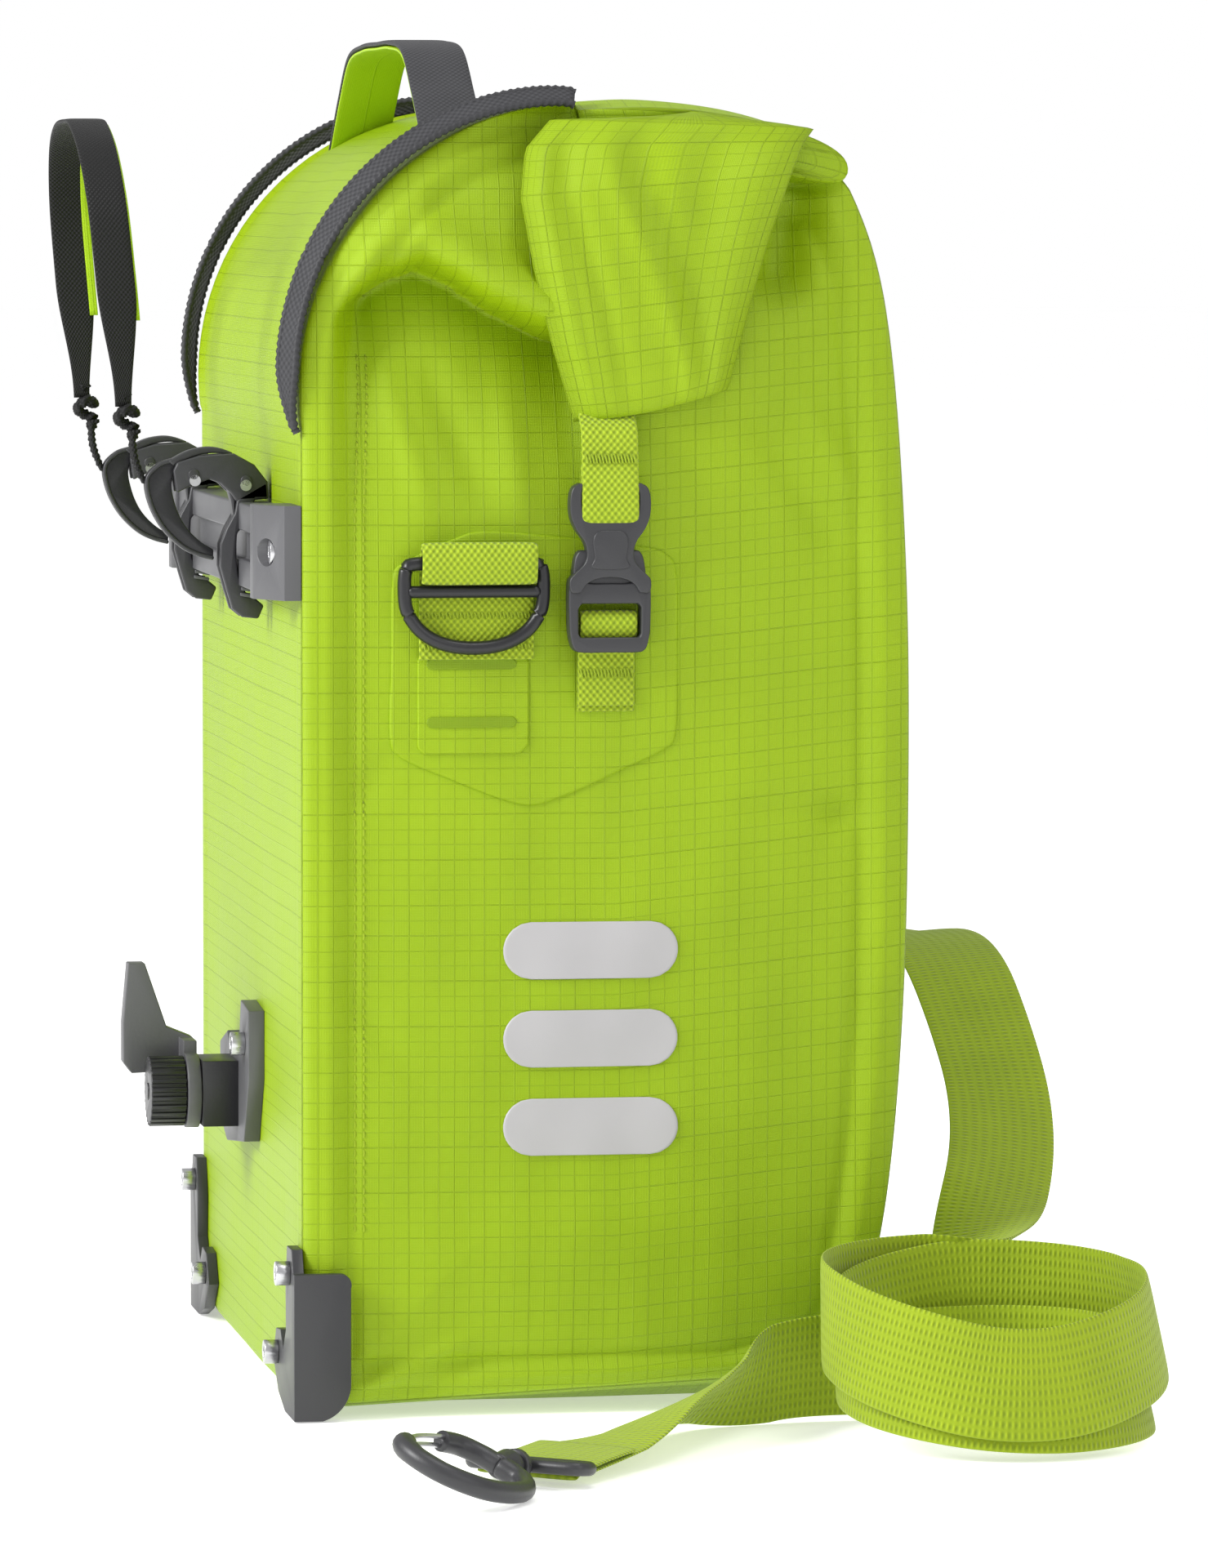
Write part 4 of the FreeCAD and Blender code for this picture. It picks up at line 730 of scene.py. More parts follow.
def bridge(a, b, lift):
    """Rings between two rings, easing from one to the other with a rounded shoulder."""
    rings = []
    for t in np.linspace(0, 1, 12)[1:-1]:
        ease = t * t * (3 - 2 * t)
        blend = a + (b - a) * ease
        blend[:, 2] += lift * math.sin(math.pi * t)
        rings.append(blend)
    return rings


roll_points = np.array(roll_rows[0] + bridge(roll_rows[0][-1], first, 0.002) + middle
                       + bridge(last, roll_rows[1][0], 0.002) + roll_rows[1])
faces = grid_faces(*roll_points.shape[:2], wrap_columns=True).tolist()
faces.append(list(range(96)))
faces.append(list(range((len(roll_points) - 1) * 96, len(roll_points) * 96))[::-1])
steps = np.linalg.norm(np.diff(roll_points, axis=0), axis=2).mean(1)
length = np.concatenate([[0], np.cumsum(steps)])
girth = np.concatenate([[0], np.cumsum(np.linalg.norm(np.diff(roll_section, axis=0), axis=1))]) / 1000
roll_uv = np.stack(np.broadcast_arrays(length[:, None], girth[None, :]), -1)
roll_top = add_piece("roll_top", roll_points.reshape(-1, 3), faces, finishes["ripstop_fabric"], "bag",
                     roll_uv.reshape(-1, 2))
finish_mesh(roll_top)
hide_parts("roll_closure", "roll_end_left", "roll_end_right")
print("roll:", len(faces), "faces")

# %% [markdown]
# ## Patches and reflective bars
# A patch of the same cloth is welded on where the webbing is sewn, so its edge is a thin step and
# the ripstop grid runs across it. The reflective bars are thin film. Both lie on the end panel's
# relief, so each is a fine grid of points inside an outline, lifted off that relief by its own
# thickness, with its rim dropping back to the cloth.


# %% Pieces that lie on an end panel


def edge_distance(u, z):
    """Distance of points from the section outline, in millimetres."""
    flat = np.stack([u.ravel(), z.ravel()], -1)
    gap = np.concatenate([np.linalg.norm(part[:, None] - ring[None], axis=2).min(1)
                          for part in np.array_split(flat, max(1, len(flat) // 4000))])
    return gap.reshape(u.shape)


def round_tube(line, radius, around=12, twist=0.0, lobes=0):
    """A tube along a line; a cross-section with lobes that turn as it goes looks like twisted cord."""
    line = np.asarray(line, float)
    tangent = unit(np.gradient(line, axis=0))
    helper = np.where(np.abs(tangent[:, 2:3]) > 0.9, [[1.0, 0, 0]], [[0, 0, 1.0]])
    first = unit(np.cross(tangent, helper))
    second = np.cross(tangent, first)
    angle = np.linspace(0, 2 * np.pi, around, endpoint=False)
    run = np.concatenate([[0], np.cumsum(np.linalg.norm(np.diff(line, axis=0), axis=1))])
    wobble = 1 + (0.22 * np.sin(lobes * angle[None, :] + twist * run[:, None]) if lobes else 0)
    size = np.broadcast_to(np.asarray(radius, float), (len(line),))[:, None] * wobble
    points = (line[:, None] + first[:, None] * (np.cos(angle)[None, :] * size)[..., None]
              + second[:, None] * (np.sin(angle)[None, :] * size)[..., None])
    faces = grid_faces(len(line), around, wrap_columns=True).tolist()
    faces += [list(range(around)), list(range((len(line) - 1) * around, len(line) * around))[::-1]]
    uv = np.stack(np.broadcast_arrays(angle[None, :] * radius if np.isscalar(radius) else angle[None,
        :] * 0.002,
                                      run[:, None]), -1)
    return points.reshape(-1, 3), faces, uv.reshape(-1, 2)


def skin(u, z, side, lift):
    """Points a given number of millimetres off the end panel's relief."""
    out = end_relief(u, z, edge_distance(u, z), side) - 4.0
    return at_depth(u, z, side * (HALF_WIDTH + (out + lift) / 1000))


def lay_on(name, outline, side, lift, material, rings=26, count=160, inner=None):
    """A thin piece on the end panel: rings from its outline to its middle, its rim tucked under."""
    outline = resample(np.asarray(outline, float), count, closed=True)
    centre = outline.mean(0) if inner is None else np.array(inner, float)
    share = np.concatenate([[1.0, 1.0, 0.985], np.linspace(0.96, 0.01, rings - 3)])
    height = np.concatenate([[-0.5, lift * 0.7, lift], np.full(rings - 3, lift)])
    u = centre[0] + (outline[None, :, 0] - centre[0]) * share[:, None]
    z = centre[1] + (outline[None, :, 1] - centre[1]) * share[:, None]
    points = skin(u, z, side, height[:, None])
    faces = grid_faces(rings, count, wrap_columns=True).tolist()
    faces.append(list(range((rings - 1) * count, rings * count)))
    uv = np.stack([u / 1000, z / 1000 - 0.10 * np.maximum(u / 1000 - 0.11, 0)], -1)
    piece = add_piece(name, points.reshape(-1, 3), faces, finishes[material], "bag",
        uv.reshape(-1, 2))
    finish_mesh(piece)
    return piece


def pill(u0, u1, z0, z1, count=10):
    """A bar with round ends."""
    r = (z1 - z0) / 2
    t = np.linspace(np.pi / 2, 3 * np.pi / 2, count)
    left = np.stack([u0 + r + r * np.cos(t), (z0 + z1) / 2 + r * np.sin(t)], -1)
    right = np.stack([u1 - r - r * np.cos(t), (z0 + z1) / 2 - r * np.sin(t)], -1)
    return np.vstack([left, right])


patch = smooth_curve([(30.5, 240), (31, 265), (31.5, 294), (36, 300), (53, 308), (64, 310.5), (90, 308.5),
                      (118, 305), (127, 302.5), (131, 295), (131.3, 265), (131, 240), (127, 234),
                      (112, 227),
                      (95, 219.4), (81, 215), (70, 217), (52, 224), (34, 232)], 200, closed=True)
for label, side in SIDES:
    body_patch = lay_on("welded_patch_" + label, patch, side, 0.75, "ripstop_fabric", 40,
        200,
                        inner=(82, 263))
    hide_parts("side_patch_" + label)
    panel = np.vstack([(42, 268.5), (76, 268.5), (79, 266), (79, 236), (76, 233), (42, 233), (40, 235),
        (40, 266)])
    lay_on("raised_tab_" + label, panel, side, 1.5, "ripstop_fabric",
           16, 120)
    for number, z0 in enumerate((262.4, 242.2)):
        lay_on("patch_slot_%s_%d" % (label, number), pill(42.8, 75, z0, z0 + 3.8), side, 1.9, "slot_fabric",
               6, 40)
    for number in range(3):
        low = 92 + 31 * number
        lay_on("reflective_bar_%s_%d" % (label, number), pill(70, 132, low, low + 20), side,
            0.75,
                           "reflective_print", 14, 80)
    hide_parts("reflective_bars_" + label)
    seam_points, seam_faces = [], []
    for line_u, lows in ((18.5, np.arange(66, 372, 3.3)), (21.5, np.arange(66, 372, 3.3))):
        for z in lows:
            u = np.full(3, line_u + 2.0 * smoothstep(300, 372, z))
            p, f, _ = round_tube(skin(u, np.array([z, z + 1.1, z + 2.2]), side, np.array([0.0, 0.45, 0.0])),
                                 0.00030, 5)
            seam_faces += [[i + len(seam_points) for i in face] for face in f]
            seam_points += p.tolist()
    add_piece("seam_stitches_" + label, seam_points, seam_faces, finishes["lime_webbing"], "bag",
              np.zeros((len(seam_points), 2)))
print("patches, bars and seam stitches are on both end panels")

# %% [markdown]
# ## Edge trims, carry handle and label
# The trims are a diamond-woven tape that hides the seams of the arch, with a twisted cord along each
# edge. The handle is ribbed webbing over a green lining, arched from one trim to the other. All of
# them are ribbons swept along smooth lines with the tape helper; the cords are thin round tubes.

# %% Trims along the arch
arch_line = arc_through((0, 345), (20.2, 421), (96, 459), 90)
arch_normal = unit(np.stack([-np.gradient(arch_line[:, 1]), np.gradient(arch_line[:, 0])], -1))

arch_out = 1.0 if arch_normal[45] @ (arch_line[45] - [100, 345]) > 0 else -1.0

for label, side in SIDES:
    flat = arch_line + arch_normal * (1.5 + 4.0 * np.sin(np.pi * np.linspace(0, 1, 90)) ** 0.5)[:,
        None] * arch_out
    centre = at_depth(flat[:, 0], flat[:, 1], side * 0.1450)
    normal = np.stack([np.zeros(90), -arch_normal[:, 0], arch_normal[:, 1]], -1)
    out = np.stack([np.full(90, side * 0.5), -arch_normal[:, 0] * 0.866, arch_normal[:, 1] * 0.866], -1)
    across = unit(np.cross(out, unit(np.gradient(centre, axis=0))))
    taper = smoothstep(0.0, 0.14, np.linspace(0, 1, 90))[:, None] * 0.94 + 0.06
    across = across * taper
    points, faces, uv = tape(centre, across, unit(out), 0.0092, 0.0020)
    trim = add_piece("edge_tape_" + label, points, faces, finishes["woven_trim"], "bag", uv)
    finish_mesh(trim)
    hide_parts("edge_trim_" + label)
    for name, shift in (("outer", 0.0046), ("inner", -0.0046)):
        cord_line = resample(centre + across * shift, 260)
        points, faces, uv = round_tube(cord_line, 0.0013, 12, 2400, 2)
        add_piece("trim_cord_%s_%s" % (name, label), points, faces, finishes["cord_yarn"], "bag",
            uv)
print("trims follow the arch")

# %% Carry handle and its lining
handle_path = smooth_curve([(-0.1300, 0.4395), (-0.1180, 0.4480), (-0.0960, 0.4640), (-0.0700, 0.4790),
                            (-0.0350, 0.4826), (0.0, 0.4828), (0.0350, 0.4826), (0.0700, 0.4790),
                            (0.0960, 0.4640), (0.1180, 0.4480), (0.1300, 0.4395)], 160)
handle_line = np.stack([handle_path[:, 0], np.full(160, PANEL_Y - 0.057), handle_path[:, 1]], -1)
handle_up = unit(np.stack([-np.gradient(handle_path[:, 1]), np.zeros(160), np.gradient(handle_path[:, 0])],
    -1))
handle_across = np.tile([0.0, 1.0, 0.0], (160, 1))
points, faces, uv = tape(handle_line - handle_up * 0.0008, handle_across, handle_up, 0.0225, 0.0020)
handle = add_piece("handle_webbing", points, faces, finishes["grey_webbing"], "bag", uv)
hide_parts("carry_handle")
points, faces, uv = tape(handle_line - handle_up * 0.0026, handle_across, handle_up, 0.0218, 0.0016)
lining = add_piece("handle_underside", points, faces, finishes["green_lining"], "bag", uv)
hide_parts("handle_lining")
finish_mesh(handle)
finish_mesh(lining)

# %% Label on the arch
u, z = arch_line[:, 0], arch_line[:, 1]
keep = (z > 370) & (z < 413)
label_line = np.stack([u[keep], z[keep]], -1) + arch_normal[keep] * arch_out * 1.8
centre = at_depth(label_line[:, 0], label_line[:, 1], -0.124)
centre = resample(centre, 40)
tangent = unit(np.gradient(centre, axis=0))
points, faces, uv = tape(centre, np.tile([1.0, 0, 0], (40, 1)), np.cross(tangent, [1.0, 0, 0]), 0.032,
    0.0009)
label_piece = add_piece("label_tab", points, faces, finishes["slot_fabric"], "bag", uv)
finish_mesh(label_piece)
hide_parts("fabric_label")
print("handle and label made")

# %% [markdown]
# ## Pull strap
# One loop of ribbed webbing lifts both lever noses at once. It stands up in a tall arch; below, each
# end is gathered into a knot and goes on as a thin cord to a lever. Its green lining shows as a thin
# line inside the loop.

# %% Pull strap loop, knots and cords
loop_xz = smooth_curve([(-0.0590, 0.352), (-0.0600, 0.372), (-0.0612, 0.398), (-0.0585, 0.424),
    (-0.0430, 0.4430),
                        (-0.0180, 0.4525), (0.0100, 0.4540), (0.0380, 0.4525), (0.0630, 0.4430),
                        (0.0785, 0.424),
                        (0.0812, 0.398), (0.0800, 0.372), (0.0790, 0.352)], 150)
share = np.linspace(0, 1, 150)
ends = np.minimum(share, 1 - share)
loop_y = PANEL_Y + 0.0525 + 0.0085 * smoothstep(0.02, 0.42, ends) + 0.0010 * np.sin(share * 9)
loop_line = np.stack([loop_xz[:, 0], loop_y, loop_xz[:, 1]], -1)
tangent = unit(np.gradient(loop_line, axis=0))
out = unit(np.cross(tangent, [0.0, 1.0, 0.0]))
width = 0.0140 * (0.42 + 0.58 * smoothstep(0.0, 0.14, ends))
points, faces, uv = tape(loop_line, np.tile([0.0, 1.0, 0.0], (150, 1)) * (width / 0.0140)[:, None],
                         out, 0.0140, 0.0018)
strap = add_piece("pull_loop_webbing", points, faces, finishes["black_webbing"], "pull_loop",
    uv)
finish_mesh(strap)
keep = ends > 0.10
toward = 1 if (out[75] @ np.array([0, 0, 1.0])) > 0 else -1
inner = (loop_line - toward * out * 0.0011 - np.array([0, 0.0062, 0]))[keep]
points, faces, uv = tape(inner, np.tile([0.0, 1.0, 0.0], (keep.sum(), 1)), out[keep], 0.0030, 0.0012)
strap_lining = add_piece("pull_loop_lining", points, faces, finishes["green_lining"], "pull_loop",
    uv)
finish_mesh(strap_lining)
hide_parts("pull_strap")
for label, x, eye_x in (("left", -0.0590, -0.060), ("right", 0.0790, 0.080)):
    top = np.array([x, PANEL_Y + 0.0515, 0.353])
    eye = np.array([eye_x, PANEL_Y + 0.0277 + 0.0185, 0.3262])
    knot = smooth_curve([top + [0, 0, 0.004], top + [0.0022, 0.001, 0], top + [0, -0.003, -0.003],
                         top + [-0.0024, 0.0, -0.002], top + [0, 0.0028, -0.005],
                         top + [0.0018, -0.001, -0.008],
                         top + [-0.0012, -0.003, -0.009], top + [0.0008, -0.002, -0.012]], 90)
    points, faces, uv = round_tube(knot, 0.0019, 12, 2600, 2)
    add_piece("pull_knot_" + label, points, faces, finishes["black_webbing"], "pull_loop",
        uv)
    middle = (top + [0, -0.002, -0.010] + eye) / 2 + [0, 0.001, 0]
    for number, shift in enumerate((-0.0012, 0.0012)):
        line = smooth_curve([top + [shift, -0.002, -0.010], middle + [shift * 2.2, 0, 0],
            eye + [shift, 0.0, 0.001],
                             eye + [0, -0.0022, -0.0015]], 50)
        points, faces, uv = round_tube(line, 0.0011, 10, 3000, 2)
        add_piece("pull_cord_%s_%d" % (label, number), points, faces, finishes["black_webbing"],
            "pull_loop",
                  uv)
print("pull strap made")

# %% [markdown]
# ## Webbing and buckles on the end panels
# Each buckle has two moulded halves. The lower half is a frame on a short loop of webbing that is
# sewn down below it; the upper half narrows to a waist between two side prongs. They are outlines
# given a thickness and a round bevel. Webbing is swept along its side view, so its turns over the
# bars are really there.


# %% Strips of webbing seen from the side
def strip(name, side_view, middle, width, material, body, side, thickness=0.0016, lift=0.0):
    """Webbing that runs along a line in (millimetres out from the end panel, height)."""
    line = smooth_curve(np.asarray(side_view, float) + [0, lift], 90)
    centre = at_depth(np.full(90, middle), line[:, 1], side * (HALF_WIDTH + line[:, 0] / 1000))
    tangent = unit(np.gradient(centre, axis=0))
    across = np.tile([0.0, 1.0, 0.0], (90, 1))
    points, faces, uv = tape(centre, across, np.cross(tangent, across), width, thickness)
    piece = add_piece(name, points, faces, finishes[material], body, uv)
    return finish_mesh(piece)


def stitches(name, side, out, middle, width, z, body="bag", count=16, slant=1.6, rows=1):
    """A bar tack: short round threads side by side."""
    points, faces = [], []
    for row in range(rows):
        for k in range(count):
            u = middle - width / 2 + width * (k + 0.5) / count
            height = z - 2.2 * row
            line = at_depth([u - slant / 4, u, u + slant / 4], [height + slant, height, height - slant],
                            side * (HALF_WIDTH + np.array([out, out + 0.35, out]) / 1000))
            p, f, _ = round_tube(line, 0.00032, 5)
            faces += [[i + len(points) for i in face] for face in f]
            points += p.tolist()
    return add_piece(name, points, faces, finishes["lime_webbing"], body,
                     np.zeros((len(points), 2)))


BUCKLE = 106.0
for label, side in SIDES:
    lower = strip("buckle_strap_lower_" + label,
                  [(1.4, 245), (1.4, 256), (2.0, 262), (4.4, 268), (7.6, 273), (8.6, 277), (7.2, 279.6),
                  (5.0, 279.3),
                   (3.6, 275), (3.3, 268), (2.9, 262), (2.9, 247)], BUCKLE, 0.020, "lime_webbing", "bag",
                  side, lift=2.5)
    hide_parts("lower_webbing_" + label)
    stitches("lower_tack_" + label, side, 3.7, BUCKLE, 19, 261.0)
    stitches("lower_tack_end_" + label, side, 2.3, BUCKLE, 19, 251.0)
    upper = strip("buckle_strap_upper_" + label,
                  [(1.2, 384), (1.5, 368), (1.9, 355), (3.4, 348.5), (8.4, 343), (9.6, 337), (10.6, 331),
                  (11.6, 322),
                   (11.8, 314), (10.2, 309.2), (7.6, 309.0), (6.8, 313), (7.6, 322), (8.6, 331)],
                  BUCKLE, 0.020, "lime_webbing", "tongue_" + label, side, lift=2.5)
    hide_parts("upper_webbing_" + label)
    stitches("upper_tack_" + label, side, 11.5, BUCKLE, 18, 336, "tongue_" + label)
print("buckle webbing made")


# %% Buckle halves
def moulded_plate(name, outline, holes, out_low, out_high, side, material, body, bevel=0.0009,
    segments=3):
    """A flat moulding on an end panel: outline and holes in (depth, height), given thickness outwards."""
    import bmesh
    work = bmesh.new()
    x0 = side * (HALF_WIDTH + out_low / 1000)
    edges = []
    for loop in [outline] + list(holes):
        verts = [work.verts.new(p) for p in at_depth(np.asarray(loop)[:, 0], np.asarray(loop)[:, 1], x0)]
        edges += [work.edges.new((a, b)) for a, b in zip(verts, verts[1:] + verts[:1])]
    bmesh.ops.triangle_fill(work, edges=edges, use_beauty=True)
    grown = bmesh.ops.extrude_face_region(work, geom=work.faces[:])
    moved = [item for item in grown["geom"] if isinstance(item, bmesh.types.BMVert)]
    bmesh.ops.translate(work, verts=moved, vec=(side * (out_high - out_low) / 1000, 0, 0))
    bmesh.ops.dissolve_limit(work, angle_limit=0.01, verts=work.verts[:], edges=work.edges[:])
    bmesh.ops.recalc_face_normals(work, faces=work.faces)
    mesh = bpy.data.meshes.new(name)
    work.to_mesh(mesh)
    work.free()
    mesh.polygons.foreach_set("use_smooth", [True] * len(mesh.polygons))
    piece = bpy.data.objects.new(name, mesh)
    bpy.context.scene.collection.objects.link(piece)
    mesh.materials.append(finishes[material])
    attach(piece, body)
    edge = piece.modifiers.new("rounded_edges", "BEVEL")
    edge.width, edge.segments, edge.limit_method, edge.angle_limit = bevel, segments, "ANGLE", math.radians(
        35)
    edge.use_clamp_overlap = True
    return piece


def mirrored(half, middle):
    """A closed outline from its right half, top to bottom."""
    half = np.asarray(half, float)
    half = half + [0, 2.5]
    return np.vstack([np.stack([middle + half[:, 0], half[:, 1]], -1),
                      np.stack([middle - half[::-1, 0], half[::-1, 1]], -1)])


for label, side in SIDES:
    frame_out = smooth_curve([(0, 290), (7, 290.2), (12.6, 292.0), (14.3, 290.0), (14.3, 276.0),
        (13.6, 270.0),
                              (12.2, 266.8), (9, 266.0), (0, 266.0)], 60)
    frame_out = mirrored(frame_out[1:-1], BUCKLE)
    window = mirrored([(10.2, 283.0), (11.0, 281.6), (11.0, 272.6), (10.4, 271.2)], BUCKLE)
    socket = moulded_plate("buckle_frame_" + label, frame_out, [window], 3.2, 11.0, side,
        "charcoal_plastic", "bag")
    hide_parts("buckle_socket_" + label)
    sleeve = mirrored(smooth_curve([(10.6, 301.5), (12.0, 299.0), (12.8, 294.0), (12.8, 288.0)], 14),
        BUCKLE)
    moulded_plate("buckle_sleeve_" + label, sleeve, [], 3.6, 9.6, side, "charcoal_plastic", "bag")
    waist = smooth_curve([(10.6, 325.0), (13.2, 323.2), (14.2, 319.0), (13.9, 313.5), (12.2, 309.0),
        (9.3, 304.8),
                          (8.2, 300.8), (9.0, 297.2), (12.4, 293.6), (14.2, 291.4), (14.2, 288.0),
                          (13.2, 286.6)], 70)
    arc = smooth_curve([(10.4, 286.8), (8.2, 290.0), (4.0, 291.8), (0.0, 292.2)], 24)
    top = smooth_curve([(0.0, 312.2), (6.0, 312.2), (9.2, 313.2), (10.0, 316.5), (10.2, 321.0),
        (9.6, 324.6)], 30)
    half = np.vstack([top[1:], waist, arc[:-1]])
    tongue = moulded_plate("buckle_tongue_shell_" + label, mirrored(half, BUCKLE), [], 5.4, 12.0, side,
                           "charcoal_plastic", "tongue_" + label)
    bar = mirrored([(10.4, 322.4), (10.4, 319.2)], BUCKLE)
    moulded_plate("buckle_bar_" + label, bar, [], 8.4, 10.8, side, "charcoal_plastic", "tongue_" + label,
                  0.0005)
    boss = mirrored(smooth_curve([(0.0, 308.6), (4.6, 308.0), (6.2, 304.6), (5.6, 299.0), (6.6, 295.6),
        (0.0, 294.8)],
                                 30)[1:-1], BUCKLE)
    moulded_plate("buckle_boss_" + label, boss, [], 11.0, 12.45, side, "charcoal_plastic",
        "tongue_" + label,
                  0.0006)
    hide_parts("buckle_tongue_" + label)
print("buckles made")

# %% [markdown]
# ## D-rings
# The ring is one round bar: a straight crossbar closes a D whose curve hangs below it, and two short
# shoulders stand up beside the webbing that holds it. A circle carried along that line gives the
# metal-like roundness. The webbing is folded over a hidden upper bar, so it bulges at its top.


# %% D-rings and their webbing
def d_line():
    """The D's outer line in (depth, height) and its crossbar, as smooth closed and open curves."""
    curve = smooth_curve([(35.2, 297.5), (34.6, 291), (35.6, 283), (40.5, 276), (48.5, 271.6), (59, 270.2),
                          (69.5, 271.6), (77.5, 276), (82.4, 283), (83.4, 291), (82.8, 297.5),
                          (80.4, 299.4),
                          (70, 299.6), (59, 299.6), (48, 299.6), (37.6, 299.4)], 150, closed=True)
    return curve, np.array([(36.0, 289.8), (48, 289.8), (59, 289.8), (70, 289.8), (82, 289.8)])


def turned(points, side):
    """The right ring is pulled out by the strap: a turn of 20 degrees about its hinge line."""
    if side < 0:
        return points
    hinge = np.array([0.1548, 0, 0.288])
    a = math.radians(-20)
    x, z = points[..., 0] - hinge[0], points[..., 2] - hinge[2]
    out = points.copy()
    out[..., 0] = hinge[0] + x * math.cos(a) + z * math.sin(a)
    out[..., 2] = hinge[2] - x * math.sin(a) + z * math.cos(a)
    return out


for label, side in SIDES:
    curve, crossbar = d_line()
    loop = turned(at_depth(curve[:, 0], curve[:, 1], side * 0.1556), side)
    loop = np.vstack([loop, loop[:1]])
    points, faces, uv = round_tube(loop, 0.0024, 16)
    ring_piece = add_piece("d_ring_bar_" + label, points, faces, finishes["black_plastic"], "ring_" + label,
                           uv)
    finish_mesh(ring_piece)
    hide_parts("d_ring_" + label)
    bar = turned(at_depth(crossbar[:, 0], crossbar[:, 1], side * 0.1556), side)
    points, faces, uv = round_tube(resample(bar, 30), 0.0022, 14)
    finish_mesh(add_piece("d_ring_crossbar_" + label, points, faces, finishes["black_plastic"],
        "ring_" + label,
                          uv))
    web = strip("ring_strap_" + label,
                [(1.7, 266), (1.7, 280), (2.2, 290), (3.4, 297), (5.4, 303), (8.0, 306.2), (10.2, 305.0),
                 (10.9, 301), (10.2, 296.5), (8.8, 293.2), (7.4, 293.6)], 60.5, 0.0405, "lime_webbing",
                 "bag",
                side)
    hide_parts("ring_webbing_" + label)
    stitches("ring_tack_" + label, side, 2.6, 60.5, 38, 281.5, count=30, slant=1.0)
    stitches("ring_tack_low_" + label, side, 2.6, 60.5, 38, 270.5, count=30, slant=1.0)
print("D-rings made")

# %% [markdown]
# ## Rail, hooks and levers
# Each hook is a stiff cheek with a leg, and its locking lever is a thin crescent that closes round
# the rack tube. Both are outlines given thickness, with a raised rim where the moulding is ribbed.
# A bevel on every edge catches the light as moulded plastic does.


# %% Mouldings in the plane of the bag's depth
def moulding(name, outline, x_low, x_high, material, body, bevel=0.0007, holes=()):
    """An outline in (depth, height) given thickness along X, in metres, with its edges rounded."""
    piece = moulded_plate(name, outline, holes, 0.0, (x_high - x_low) * 1000, 1, material, body,
        bevel)
    piece.data.transform(Matrix.Translation((x_low - HALF_WIDTH, 0, 0)))
    return piece


def disc(centre_u, centre_z, radius, x_low, x_high, name, material, body, count=28, bevel=0.0004):
    """A short cylinder along X."""
    t = np.linspace(0, 2 * np.pi, count, endpoint=False)
    outline = np.stack([centre_u + radius * np.cos(t), centre_z + radius * np.sin(t)], -1)
    return moulding(name, outline, x_low, x_high, material, body, bevel)


cheek = [(-35.4, 329.3), (-34.0, 332.2), (-26.3, 334.6), (-13.7, 335.4), (-6.3, 331.3), (-1.6, 325.2),
    (-1.2, 319.2),
         (-8.3, 318.6), (-13.0, 318.4), (-14.6, 321.0), (-18.6, 324.8), (-22.5, 326.3), (-30.0, 323.4),
         (-34.2, 321.4)]
leg = [(-1.6, 325.2), (-1.2, 319.2), (-12.6, 319.0), (-13.4, 314.0), (-16.4, 308.6), (-18.6, 303.0),
    (-18.8, 295.2),
       (-16.4, 286.5), (-14.4, 279.9), (-10.8, 277.0), (-5.0, 276.4), (-3.0, 281.1), (-6.0, 283.6),
       (-9.6, 286.0),
       (-12.2, 292.0), (-13.0, 299.1), (-12.6, 306.9), (-8.3, 311.6), (-6.3, 318.4)]
crescent_out = smooth_curve([(-35.4, 333.6), (-40.0, 332.0), (-44.2, 328.3), (-45.2, 324.5), (-44.2, 318.7),
                             (-41.8, 312.8), (-37.9, 307.0), (-32.1, 301.6), (-26.4, 298.7),
                             (-20.8, 297.2)], 60)
crescent_in = smooth_curve([(-20.6, 301.0), (-25.4, 304.0), (-29.8, 308.3), (-32.7, 313.0), (-34.7, 318.6),
                            (-35.6, 324.4), (-34.0, 329.0), (-30.0, 331.8)], 50)
crescent = np.vstack([crescent_out, crescent_in])
top_band = smooth_curve([(-37.0, 332.6), (-30.2, 336.2), (-24.0, 337.6), (-19.0, 337.4), (-13.7, 335.6)],
    30)
band_under = smooth_curve([(-14.0, 334.2), (-19.5, 335.4), (-26.3, 334.6), (-35.0, 331.0)], 30)
